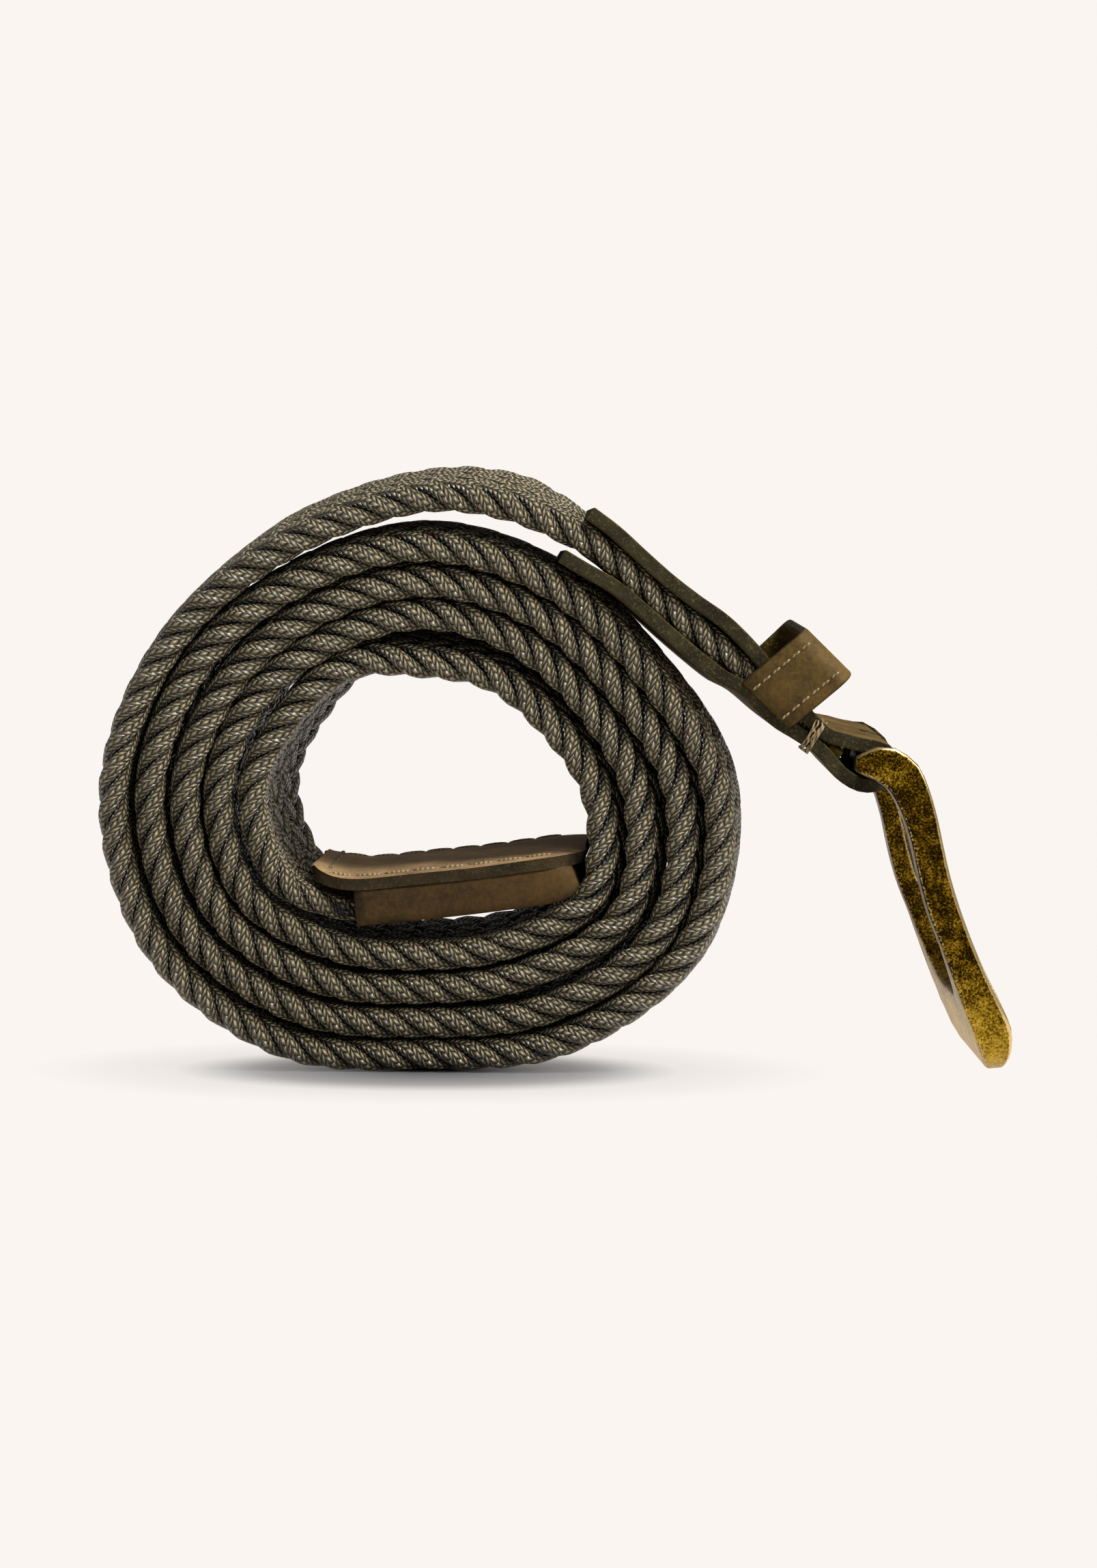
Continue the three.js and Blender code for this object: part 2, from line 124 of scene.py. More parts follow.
floor_bm = bmesh.new()
bmesh.ops.create_grid(floor_bm, x_segments=1, y_segments=1, size=FLOOR_SIZE)
floor_mesh = bpy.data.meshes.new("studio_floor")
floor_bm.to_mesh(floor_mesh)
floor_bm.free()
floor = bpy.data.objects.new("studio_floor", floor_mesh)
bpy.context.collection.objects.link(floor)

floor_material = bpy.data.materials.new("studio_floor")
floor_material.use_nodes = True
floor_nodes = floor_material.node_tree.nodes
floor_links = floor_material.node_tree.links
floor_nodes.clear()
floor_place = floor_nodes.new("ShaderNodeTexCoord")
floor_oval = floor_nodes.new("ShaderNodeVectorMath")
floor_oval.operation = "MULTIPLY"
floor_oval.inputs[1].default_value = FLOOR_OVAL
floor_distance = floor_nodes.new("ShaderNodeVectorMath")
floor_distance.operation = "DISTANCE"
floor_distance.inputs[1].default_value = FLOOR_MIDDLE
floor_shadow_fade = floor_nodes.new("ShaderNodeValToRGB")
floor_shadow_fade.color_ramp.elements.new(0.4)
floor_shadow_fade.color_ramp.elements.new(0.6)
for stop, (distance, share) in zip(floor_shadow_fade.color_ramp.elements, FLOOR_SHADOW_FADE):
    stop.position = distance
    stop.color = (share, share, share, 1)
# A dark floor in the oval under the coil: a painted contact shadow, which the lamps then light and
# shade as well.
floor_painted_shadow = socket_values(floor_nodes.new("ShaderNodeBsdfDiffuse"), Color=(0.1, 0.1, 0.105, 1))
floor_glow = socket_values(floor_nodes.new("ShaderNodeEmission"), Color=SURROUND, Strength=1)
floor_mix = floor_nodes.new("ShaderNodeMixShader")
floor_output = floor_nodes.new("ShaderNodeOutputMaterial")
floor_links.new(floor_place.outputs["Object"], floor_oval.inputs[0])
floor_links.new(floor_oval.outputs[0], floor_distance.inputs[0])
floor_links.new(floor_distance.outputs["Value"], floor_shadow_fade.inputs["Fac"])
floor_links.new(floor_shadow_fade.outputs["Color"], floor_mix.inputs["Fac"])
floor_links.new(floor_painted_shadow.outputs[0], floor_mix.inputs[1])
floor_links.new(floor_glow.outputs[0], floor_mix.inputs[2])
floor_links.new(floor_mix.outputs[0], floor_output.inputs["Surface"])
floor_mesh.materials.append(floor_material)


# The braided strap, about 1.05 m of it. Fifteen round elastic cords run from the leather tip to
# the tab, each slanting from edge to edge over two cords and under two, and turn back at the edge.
# Sizes are in millimetres, and the strap's line is that of its near edge.
STRAP_WIDTH = 34
NEAR_EDGE = -STRAP_WIDTH / 2
STRAP_THICKNESS = 4.75
COIL_CENTRE = (-20.4, 43)
COIL_TURNS = 6
# From the measured places to the part's own frame: a shift, and a slight stretch upwards
BELT_SHIFT = (-0.03, -0.79, -0.42)
BELT_HEIGHT = (1, 1, 1.006)
LINE_STEPS = 48

# Clock angle, and the radius of the strap's middle line on each turn from the inside out
COIL_RADII = [
    (0, None, 19.6, 27.0, 32.0, 37.4, 45.1),
    (30, None, 20.4, 27.0, 32.1, 37.2, None),
    (60, None, 21.8, 28.1, 33.4, 38.4, None),
    (90, None, 25.8, 32.0, 38.4, 44.8, None),
    (120, None, 29.2, 35.0, 41.1, 46.7, None),
    (150, None, 26.0, 31.4, 37.6, 43.4, None),
    (180, None, 24.5, 29.7, 34.9, 40.1, None),
    (210, None, 26.9, 32.6, 38.2, 44.3, None),
    (240, 25.7, 31.2, 36.3, 41.9, 47.7, None),
    (270, 26.3, 31.3, 36.4, 41.9, 47.9, None),
    (300, 23.7, 29.2, 33.9, 39.6, 45.2, None),
    (330, 22.4, 27.0, 31.9, 37.2, 43.2, None),
]
# How far the far edge stands outside the near edge, by turn and clock angle
COIL_LEANS = {
    (0, 240): -1.8,
    (0, 270): -2.6,
    (0, 300): -2.2,
    (0, 330): -0.9,
    (1, 0): 1.2,
    (1, 30): 0.9,
    (4, 0): -0.3,
    (4, 30): -1.0,
    (4, 60): -1.0,
    (4, 330): 2.0,
    (5, 0): 1.4,
}
# How far the middle of the strap's width bows outwards: for the turns inside, by clock angle, and
# for the outermost turn, with the bow at all other angles
INNER_BOWS = {90: 2.4, 120: 2.4, 150: 1.2, 180: 0.8, 210: 1.0, 240: 1.3}
INNER_BOW = 1.6
OUTER_BOWS = {90: 0.9, 120: 1.1, 150: 0.3, 180: 0, 210: 0.1, 240: 0.4, 270: 0.5, 300: 0.6, 330: 0.5}
OUTER_BOW = 0.3
# x, z, thickness, width, lean and bow before and after the coil
STRAP_START = [
    (-1.4, 28.65, 3.0, 32, 0, 0),
    (-12.0, 27.2, 3.0, 32, 0, 0),
    (-24.0, 25.85, 3.0, 32, 0, 0),
    (-31.5, 25.1, 3.4, 32, 0, 0),
    (-37.7, 26.9, 4.0, 34, -0.5, 0.6),
]
STRAP_END = [
    (-7.5, 86.9, 4.9, 34, 1.6, 0.5),
    (2.8, 82.9, 4.8, 34, -0.4, 0.2),
    (6.9, 80.5, 4.6, 34, -2.2, 0),
    (15.3, 73.3, 4.6, 34, -2.5, 0),
    (23.7, 66.7, 4.7, 34, -2.5, 0),
    (28.2, 63.0, 3.8, 34, -2.4, 0),
    (33.5, 58.0, 2.4, 34, -1.8, 0),
    (36.9, 54.9, 1.6, 33, -1.2, 0),
    (39.2, 52.7, 1.3, 31, -0.9, 0),
    (42.5, 50.2, 1.6, 29, -0.4, 0),
]


def in_metres(places):
    """Places in the belt's millimetres, as places in metres."""
    return (np.asarray(places) + BELT_SHIFT) * BELT_HEIGHT / 1000


def smooth_line(rows):
    """A smooth line through rows of x, z and any other columns, and a way to read it anywhere.

    The line passes through each x and z without overshooting, and the other columns blend evenly.
    """
    rows = np.array(rows, float)
    places = rows[:, :2]
    first = 2 * places[0] - places[1]
    last = 2 * places[-1] - places[-2]
    around = np.vstack([first, places, last])
    gaps = np.sqrt(np.hypot(*np.diff(around, axis=0).T))
    share = np.linspace(0, 1, LINE_STEPS, endpoint=False)[:, None]
    parts = []
    for i in range(len(rows) - 1):
        before, start, end, after = around[i:i + 4]
        a, b, c = gaps[i:i + 3]
        leaving = ((start - before) / a - (end - before) / (a + b) + (end - start) / b) * b
        arriving = ((end - start) / b - (after - start) / (b + c) + (after - end) / c) * b
        bend = 3 * (end - start) - 2 * leaving - arriving
        twist = 2 * (start - end) + leaving + arriving
        place = start + share * leaving + share ** 2 * bend + share ** 3 * twist
        others = rows[i, 2:] + share * (rows[i + 1, 2:] - rows[i, 2:])
        parts.append(np.hstack([place, others]))
    fine = np.vstack(parts + [rows[-1:]])
    run = np.concatenate([[0], np.cumsum(np.hypot(*np.diff(fine[:, :2], axis=0).T))])

    def read(distances):
        return np.column_stack([np.interp(distances, run, column) for column in fine.T])

    return read, run[-1]


def normals_of(xz):
    """Unit normals of a line of points, to the left of its run as seen from the front."""
    ahead = np.gradient(xz, axis=0)
    ahead /= np.hypot(*ahead.T)[:, None]
    return np.column_stack([-ahead[:, 1], ahead[:, 0]])


def rolled_sheet(bm, places, runs, closed, filled=True, marks=None, depths=None):
    """Adds a grid of faces whose points lie at places[i, j], in millimetres, with its own UV map.

    runs holds each row's distance along the piece, which becomes the U coordinate in millimetres.
    With closed, the last column meets the first, or the last row does, and with filled the open
    ends of such a tube get a face. marks gives each column's V coordinate, which else runs from 0
    to 1. depths gives each point's depth below the piece's outline, kept as the attribute "depth".
    """
    rows, columns = places.shape[:2]
    made = bmesh.new()
    made.loops.layers.uv.new("UVMap")
    bmesh.ops.create_grid(made, x_segments=rows - 1, y_segments=columns - 1, size=1, calc_uvs=True)
    sheet = bpy.data.meshes.new("sheet")
    made.to_mesh(sheet)
    made.free()

    flat = np.empty(len(sheet.vertices) * 3, np.float32)
    sheet.vertices.foreach_get("co", flat)
    flat = flat.reshape(-1, 3)
    row = np.rint((flat[:, 0] + 1) / 2 * (rows - 1)).astype(int)
    column = np.rint((flat[:, 1] + 1) / 2 * (columns - 1)).astype(int)
    metres = in_metres(places[row, column])
    sheet.vertices.foreach_set("co", metres.astype(np.float32).ravel())

    if depths is not None:
        depth = sheet.attributes.new("depth", "FLOAT", "POINT")
        depth.data.foreach_set("value", depths[row, column].astype(np.float32))

    uv = np.empty(len(sheet.loops) * 2, np.float32)
    sheet.uv_layers[0].data.foreach_get("uv", uv)
    uv = uv.reshape(-1, 2)
    uv[:, 0] = runs[np.rint(uv[:, 0] * (rows - 1)).astype(int)]
    if marks is not None:
        uv[:, 1] = marks[np.rint(uv[:, 1] * (columns - 1)).astype(int)]
    sheet.uv_layers[0].data.foreach_set("uv", uv.ravel())

    made = bmesh.new()
    made.from_mesh(sheet)
    if closed:
        bmesh.ops.remove_doubles(made, verts=made.verts, dist=1e-7)
        if filled:
            ends = [edge for edge in made.edges if edge.is_boundary]
            bmesh.ops.holes_fill(made, edges=ends, sides=0)
        bmesh.ops.recalc_face_normals(made, faces=made.faces)
    made.to_mesh(sheet)
    made.free()
    bm.from_mesh(sheet)
    bpy.data.meshes.remove(sheet)


def finished_piece(name, bm, materials, body):
    """Makes an object of a bmesh in place, with its materials, and lets it ride on its body."""
    mesh = bpy.data.meshes.new(name)
    bm.to_mesh(mesh)
    bm.free()
    mesh.shade_smooth()
    for material in materials:
        mesh.materials.append(material)
    piece = bpy.data.objects.new(name, mesh)
    bpy.context.collection.objects.link(piece)
    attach(piece, body)
    return piece


def coil_rows():
    """The coil's table as rows of x, z, thickness, width, lean and bow, in the strap's order."""
    rows = []
    for turn in range(COIL_TURNS):
        for clock, *radii in COIL_RADII:
            radius = radii[turn]
            if radius is None:
                continue
            angle = radians(clock)
            x = COIL_CENTRE[0] + radius * sin(angle)
            z = COIL_CENTRE[1] + radius * cos(angle)
            lean = COIL_LEANS.get((turn, clock), 0)
            last_turn = turn == COIL_TURNS - 1
            outermost = last_turn or turn == COIL_TURNS - 2 and clock in OUTER_BOWS
            if outermost:
                bow = OUTER_BOWS.get(clock, OUTER_BOW)
            else:
                bow = INNER_BOWS.get(clock, INNER_BOW)
            rows.append((x, z, STRAP_THICKNESS, STRAP_WIDTH, lean, bow))
    return rows


CORD_COUNT = 15
CORD_WIDTH = 3.4
EDGE_CORD_WIDTH = 2.65
CORD_THICKNESS = 2.5
CORD_SIDES = 12
# The length of strap on which a cord crosses to the far edge and back, and the crossings on it
CORD_CYCLE = 75.5
CROSSINGS = 2 * CORD_COUNT
STEPS_PER_CROSSING = 4
# How far a cord's middle gets from the strap's, and how sharply it turns back there
CORD_REACH = 15.8
EDGE_ROUNDNESS = 0.985
# The part of a crossing, at either side of the edge, in which a cord goes round it
EDGE_WRAP = 1.2
EDGE_NARROWING = 10

strap_line, strap_length = smooth_line(STRAP_START + coil_rows() + STRAP_END)
strap_stations = np.arange(0, strap_length, CORD_CYCLE / CROSSINGS / STEPS_PER_CROSSING)
strap_rows = strap_line(strap_stations)
strap_thick, strap_wide, strap_lean, strap_bow = strap_rows[:, 2:].T
strap_outward = normals_of(strap_rows[:, :2])


def crossing_height(position):
    """Which side of the strap a cord lies on, from -1 to 1, at a position counted in crossings.

    Position 0 is the near edge and 15 the far edge. The cord passes over two others and under two,
    and goes round each edge from the outer side to the inner one, or back.
    """
    def side(crossing):
        if crossing in (0, CORD_COUNT):
            return 0
        if crossing < 0:
            return -side(-crossing)
        return -1 if (crossing - 1) // 2 % 2 == 0 else 1

    sides = np.array([side(j) for j in range(-CORD_COUNT, CORD_COUNT)] + [0])
    below = np.floor(position).astype(int)
    share = 0.5 - 0.5 * np.cos(pi * (position - below))
    low = sides[below + CORD_COUNT]
    high = sides[np.minimum(below + 1, CORD_COUNT) + CORD_COUNT]
    height = low + share * (high - low)
    near = np.abs(position) < EDGE_WRAP
    far = np.abs(position) > CORD_COUNT - EDGE_WRAP
    height[near] = -np.sin(pi / 2 * position[near] / EDGE_WRAP)
    beyond = position[far] - np.sign(position[far]) * CORD_COUNT
    height[far] = np.sin(pi / 2 * beyond / EDGE_WRAP)
    return height


def cord_rings(number):
    """Rings of points round one cord, from the tip to the tab, and the distance along it.

    The third array says how deep each point lies below the strap's smooth outline.
    """
    cycle = strap_stations / CORD_CYCLE + number / CORD_COUNT
    position = ((cycle + 0.5) % 1 - 0.5) * CROSSINGS
    rise = crossing_height(position)
    reach = CORD_REACH / asin(EDGE_ROUNDNESS) * strap_wide / STRAP_WIDTH
    across = reach * np.arcsin(-EDGE_ROUNDNESS * np.cos(2 * pi * cycle))
    bow = strap_bow * (1 - (across / NEAR_EDGE) ** 2)
    squeeze = strap_thick / STRAP_THICKNESS
    lift = rise * (STRAP_THICKNESS - CORD_THICKNESS) / 2 * squeeze
    lift = lift + strap_lean * (across - NEAR_EDGE) / STRAP_WIDTH + bow
    outward = np.insert(strap_outward, 1, 0, axis=1)
    sideways = np.array([0.0, 1.0, 0.0])
    middle = np.insert(strap_rows[:, :2], 1, across, axis=1) + outward * lift[:, None]

    next_far = np.where(position > 0, 1, -1)
    near_turn = np.sin(pi / 2 * np.clip(position / EDGE_WRAP, -1, 1))
    far_turn = np.sin(pi / 2 * np.clip((position - next_far * CORD_COUNT) / EDGE_WRAP, -1, 1))
    half_turns = 2 * np.floor(cycle + 0.5) + 0.5 * near_turn + 0.5 * (far_turn + next_far)
    angle = -pi * (half_turns + 0.5)
    ahead = np.gradient(middle, axis=0)
    ahead /= np.linalg.norm(ahead, axis=1)[:, None]
    flat = np.cos(angle)[:, None] * outward + np.sin(angle)[:, None] * sideways
    beside = np.cross(ahead, flat)
    beside /= np.linalg.norm(beside, axis=1)[:, None]
    above = np.cross(beside, ahead)

    around = np.linspace(0, 2 * pi, CORD_SIDES + 1)
    at_edge = (across / CORD_REACH) ** EDGE_NARROWING
    width = CORD_WIDTH + (EDGE_CORD_WIDTH - CORD_WIDTH) * at_edge
    wide = width[:, None, None] / 2 * np.cos(around)[None, :, None] * beside[:, None, :]
    thick = CORD_THICKNESS / 2 * squeeze[:, None, None]
    high = thick * np.sin(around)[None, :, None] * above[:, None, :]
    rings = middle[:, None, :] + wide + high
    rings[:, -1] = rings[:, 0]
    run = np.concatenate([[0], np.cumsum(np.linalg.norm(np.diff(middle, axis=0), axis=1))])

    half = STRAP_THICKNESS / 2 * squeeze[:, None]
    height = (rise * (STRAP_THICKNESS - CORD_THICKNESS) / 2 * squeeze)[:, None]
    height = height + ((wide + high) * outward[:, None, :]).sum(axis=2)
    beyond = np.maximum(np.abs(rings[..., 1]) - (STRAP_WIDTH / 2 - half), 0)
    return rings, run, half - np.hypot(beyond, height)


class Recipe:
    """A short way to write a material: each call adds a node and returns its first output."""

    def __init__(self, name):
        self.material = bpy.data.materials.new(name)
        self.material.use_nodes = True
        self.nodes = self.material.node_tree.nodes
        self.links = self.material.node_tree.links
        self.shader = self.nodes["Principled BSDF"]

    def feed(self, socket, value):
        """Links an output to a socket, or sets the socket's own value."""
        if isinstance(value, bpy.types.NodeSocket):
            self.links.new(value, socket)
        else:
            socket.default_value = value

    def node(self, kind, *inputs, out=0, **named):
        """Adds a node. A named value is a setting in lower case, or an input with a capital."""
        node = self.nodes.new("ShaderNode" + kind)
        for name in list(named):
            if hasattr(node, name) and name.islower():
                setattr(node, name, named.pop(name))
        for socket, value in zip(node.inputs, inputs):
            if value is not None:
                self.feed(socket, value)
        for name, value in named.items():
            self.feed(node.inputs[name.replace("_", " ")], value)
        return node.outputs[out]

    def maths(self, operation, *inputs):
        """One operation on numbers."""
        return self.node("Math", *inputs, operation=operation)

    def axes(self, vector):
        """The X, Y and Z of a vector."""
        node = self.nodes.new("ShaderNodeSeparateXYZ")
        self.links.new(vector, node.inputs[0])
        return node.outputs

    def blend(self, share, low, high):
        """Mixes two colours."""
        node = self.nodes.new("ShaderNodeMix")
        node.data_type = "RGBA"
        self.feed(node.inputs["Factor"], share)
        self.feed(node.inputs[6], low)
        self.feed(node.inputs[7], high)
        return node.outputs[2]

    def ramp(self, value, *stops):
        """A value through stops of (position, colour)."""
        node = self.nodes.new("ShaderNodeValToRGB")
        self.feed(node.inputs["Fac"], value)
        while len(node.color_ramp.elements) < len(stops):
            node.color_ramp.elements.new(0.5)
        for element, (position, colour) in zip(node.color_ramp.elements, stops):
            element.position = position
            element.color = colour
        return node.outputs["Color"]

    def bump(self, height, distance, strength=1):
        """Turns a height into a bumpy surface."""
        return self.node("Bump", Height=height, Distance=distance, Strength=strength)

    def finish(self, **inputs):
        """Feeds the shader and returns the material."""
        for name, value in inputs.items():
            self.feed(self.shader.inputs[name.replace("_", " ")], value)
        return self.material


# The yarn of each cord is plaited in columns of slanting loops. Its colour is darker in the hollows
# between loops and near black in the deep gaps between cords, as painted shade.
YARN_COLUMNS = 10
YARN_ROW = 0.95
YARN_SLANT = 0.5

yarn = Recipe("cord_yarn")
yarn_axes = yarn.axes(yarn.node("UVMap", uv_map="UVMap"))
yarn_around = yarn.maths("MULTIPLY", yarn_axes["Y"], YARN_COLUMNS)
yarn_column = yarn.maths("FLOOR", yarn_around)
yarn_beside = yarn.maths("FRACT", yarn_around)
yarn_odd = yarn.maths("MODULO", yarn_column, 2)
yarn_mirror = yarn.maths("ABSOLUTE", yarn.maths("SUBTRACT", yarn_beside, yarn_odd))
yarn_along = yarn.maths("DIVIDE", yarn_axes["X"], YARN_ROW)
yarn_along = yarn.maths("MULTIPLY_ADD", yarn_mirror, YARN_SLANT, yarn_along)
yarn_along = yarn.maths("MULTIPLY_ADD", yarn_odd, 0.5, yarn_along)
yarn_row = yarn.maths("FLOOR", yarn_along)
yarn_within = yarn.maths("FRACT", yarn_along)
yarn_dome_across = yarn.maths("SINE", yarn.maths("MULTIPLY", yarn_beside, pi))
yarn_dome_along = yarn.maths("SINE", yarn.maths("MULTIPLY", yarn_within, pi))
yarn_across = yarn.maths("POWER", yarn_dome_across, 0.4)
yarn_height = yarn.maths("MULTIPLY", yarn_across, yarn.maths("POWER", yarn_dome_along, 0.7))
yarn_cell = yarn.node("CombineXYZ", yarn_column, yarn_row)
yarn_chance = yarn.node("TexWhiteNoise", yarn_cell, noise_dimensions="2D")
# Colour by loop height: darker in the hollows between loops, as painted shade.
yarn_tone_and_shade = yarn.ramp(
    yarn_height,
    (0.15, (0.012, 0.01, 0.005, 1)),
    (0.45, (0.12, 0.098, 0.052, 1)),
    (0.95, (0.27, 0.222, 0.124, 1)),
)
# Points that lie deep below the strap's outline go near black: painted shade in the gaps between
# cords.
yarn_depth = yarn.node("Attribute", attribute_name="depth", out=2)
yarn_painted_shade = yarn.node("MapRange", yarn_depth, 0.35, 1.05, 1.0, 0.03, interpolation_type="SMOOTHSTEP")
# The loops' random tone, times the painted shade.
yarn_shade_and_chance = yarn.maths("MULTIPLY", yarn.maths("MULTIPLY_ADD", yarn_chance, 0.5, 0.7), yarn_painted_shade)
yarn_colour = yarn.node("VectorMath", yarn_tone_and_shade, None, operation="SCALE", Scale=yarn_shade_and_chance)
yarn_material = yarn.finish(
    Base_Color=yarn_colour,
    Roughness=0.36,
    Normal=yarn.bump(yarn_height, 0.0007, 1),
    Specular_IOR_Level=0.8,
)

CORD_GROUPS = (range(0, 5), range(5, 10), range(10, 15))
for group_number, group in enumerate(CORD_GROUPS, start=1):
    cords_bm = bmesh.new()
    for number in group:
        rings, run, depths = cord_rings(number)
        rolled_sheet(cords_bm, rings, run, closed=True, depths=depths)
    cords = finished_piece(f"braid_cords_{group_number}", cords_bm, [yarn_material], "strap")
    if group_number == 1:
        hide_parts("woven_strap")


# The leather tip: a smooth sleeve closed round the belt's inner end, and a stitched piece with
# rounded corners laid over it. Both are waxed brown leather, dyed on the grain side only, so the
# cut edges stay dark olive with a mustard rim below.

# x, z, thickness and width of the sleeve
SLEEVE_ROWS = [
    (-30.8, 25.87, 6.1, 34.6),
    (-22.0, 26.77, 6.0, 34.6),
    (-12.0, 27.92, 6.0, 34.6),
    (-1.0, 29.47, 5.9, 34.6),
    (1.6, 30.12, 5.2, 34.0),
    (3.0, 30.72, 3.6, 32.8),
]
SLEEVE_EDGE = 1.3
# x and z of the middle of the stitched piece, and its width
TIP_TAB_ROWS = [
    (-37.6, 31.3, 34.8),
    (-34.4, 30.25, 34.8),
    (-30.8, 29.9, 34.8),
    (-21.0, 30.85, 34.8),
    (-12.0, 31.8, 34.8),
    (-1.5, 33.3, 34.8),
    (4.4, 34.0, 34.8),
]
TIP_TAB_THICKNESS = 1.8
TIP_CORNERS = (6, 7)
TIP_COLUMNS = 25
TIP_STEP = 1.5
TIP_EDGE_SAG = 0.5
TIP_FAR_SAG = 0.3
ROUND_END_STEPS = 7
# Half of the flat that a section keeps between its round corners
SECTION_FLAT = 0.05


def rounded_section(width, thickness, radius, steps=4):
    """Points (across, out) round an oblong with round corners, first and last the same."""
    radius = min(radius, thickness / 2 - SECTION_FLAT)
    points = []
    corners = ((1, 1, 0), (-1, 1, 90), (-1, -1, 180), (1, -1, 270))
    for side, top, start in corners:
        for i in range(steps + 1):
            angle = radians(start + 90 * i / steps)
            across = side * (width / 2 - radius) + radius * cos(angle)
            out = top * (thickness / 2 - radius) + radius * sin(angle)
            points.append((across, out))
    return np.array(points + points[:1])


def along_rows(rows, step, start_radius=0, end_radius=0):
    """Reads rows at even steps, with more of them where an end is rounded."""
    read, length = smooth_line(rows)
    stations = list(np.linspace(0, length, int(length / step) + 1))
    for i in range(1, ROUND_END_STEPS):
        near = 1 - cos(i * pi / 2 / ROUND_END_STEPS)
        stations.append(start_radius * near)
        stations.append(length - end_radius * near)
    stations = np.unique(np.round(stations, 3))
    stations = stations[(stations >= 0) & (stations <= length)]
    return stations, read(stations), length


def flat_tube(rows, radius, step=1.5):
    """Rings round a flat bar with round edges that follows rows of x, z, thickness and width."""
    stations, at, _ = along_rows(rows, step)
    outward = normals_of(at[:, :2])
    rings = []
    for (x, z, thick, wide), (out_x, out_z) in zip(at, outward):
        section = rounded_section(wide, thick, radius)
        rings.append([(x + out_x * out, across, z + out_z * out) for across, out in section])
    return np.array(rings), stations


def corner_cut(distance, radius):
    """How much a rounded end takes off each side of a strip, at a distance from that end."""
    inside = np.clip(radius - distance, 0, radius)
    return radius - np.sqrt(radius ** 2 - inside ** 2)


def leather_grain(name, dark, light, grain=0.5):
    """Waxed leather: mottled colour, fine pores, and soft creases."""
    leather = Recipe(name)
    place = leather.node("TexCoord", out=3)
    patches = leather.node("TexNoise", Vector=place, Scale=140, Detail=5, Roughness=0.65)
    fine = leather.node("TexNoise", Vector=place, Scale=1500, Detail=3, Roughness=0.7)
    pores = leather.node("TexVoronoi", Vector=place, Scale=1000 / grain)
    creases = leather.node("TexNoise", Vector=place, Scale=420, Detail=4, Distortion=1.2)
    share = leather.maths("MULTIPLY_ADD", fine, 0.45, leather.maths("MULTIPLY", patches, 0.8))
    colour = leather.ramp(share, (0.42, dark), (0.82, light))
    height = leather.maths("MULTIPLY_ADD", creases, 1.4, leather.maths("MULTIPLY", pores, 0.5))
    rough = leather.node("MapRange", patches, 0.3, 0.7, 0.6, 0.8)
    return leather.finish(
        Base_Color=colour,
        Roughness=rough,
        Specular_IOR_Level=0.18,
        Normal=leather.bump(height, 0.00005, 0.8),
    )


def cut_edge(name, dark, speck, rim):
    """A cut leather edge: matted fibres with pale specks."""
    edge = Recipe(name)
    place = edge.node("TexCoord", out=3)
    fibres = edge.node("TexNoise", Vector=place, Scale=1900, Detail=4, Roughness=0.75)
    patches = edge.node("TexNoise", Vector=place, Scale=260, Detail=3)
    base = edge.ramp(patches, (0.35, dark), (0.75, rim))
    specks = edge.node("MapRange", fibres, 0.55, 0.72, 0, 0.9)
    return edge.finish(
        Base_Color=edge.blend(specks, base, speck),
        Roughness=0.85,
        Specular_IOR_Level=0.2,
        Normal=edge.bump(fibres, 0.0005, 0.9),
    )


sleeve_grain = leather_grain(
    "tip_sleeve_grain",
    dark=(0.016, 0.0085, 0.0018, 1),
    light=(0.085, 0.046, 0.012, 1),
)
tip_grain = leather_grain(
    "tip_leather_grain",
    dark=(0.12, 0.075, 0.034, 1),
    light=(0.4, 0.26, 0.13, 1),
)
tip_suede = cut_edge(
    "tip_leather_back",
    dark=(0.035, 0.02, 0.006, 1),
    speck=(0.3, 0.2, 0.06, 1),
    rim=(0.12, 0.075, 0.02, 1),
)
tip_edge = cut_edge(
    "tip_leather_edge",
    dark=(0.025, 0.016, 0.006, 1),
    speck=(0.11, 0.08, 0.03, 1),
    rim=(0.06, 0.039, 0.015, 1),
)

sleeve_bm = bmesh.new()
sleeve_rings, sleeve_runs = flat_tube(SLEEVE_ROWS, SLEEVE_EDGE)
rolled_sheet(sleeve_bm, sleeve_rings, sleeve_runs, closed=True)
sleeve = finished_piece("tip_leather_sleeve", sleeve_bm, [sleeve_grain], "strap")
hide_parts("tip_sleeve")


def tip_sag(share):
    """How far the stitched piece sinks, from its near edge at -1 to its far edge at 1."""
    return TIP_EDGE_SAG * share ** 4 + TIP_FAR_SAG * np.clip(share, 0, 1)


tip_stations, tip_rows, tip_length = along_rows(TIP_TAB_ROWS, TIP_STEP, *TIP_CORNERS)
tip_half = tip_rows[:, 2] / 2 - corner_cut(tip_stations, TIP_CORNERS[0])
tip_half = tip_half - corner_cut(tip_length - tip_stations, TIP_CORNERS[1])
tip_shares = np.linspace(-1, 1, TIP_COLUMNS)
tip_places = np.stack([
    np.broadcast_to(tip_rows[:, :1], (len(tip_rows), TIP_COLUMNS)),
    tip_half[:, None] * tip_shares,
    tip_rows[:, 1:2] - tip_sag(tip_shares),
], axis=2)
tip_bm = bmesh.new()
rolled_sheet(tip_bm, tip_places, tip_stations, closed=False)
tip_leathers = [tip_grain, tip_suede, tip_edge]
tip = finished_piece("tip_stitched_leather", tip_bm, tip_leathers, "strap")
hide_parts("tip_tab")


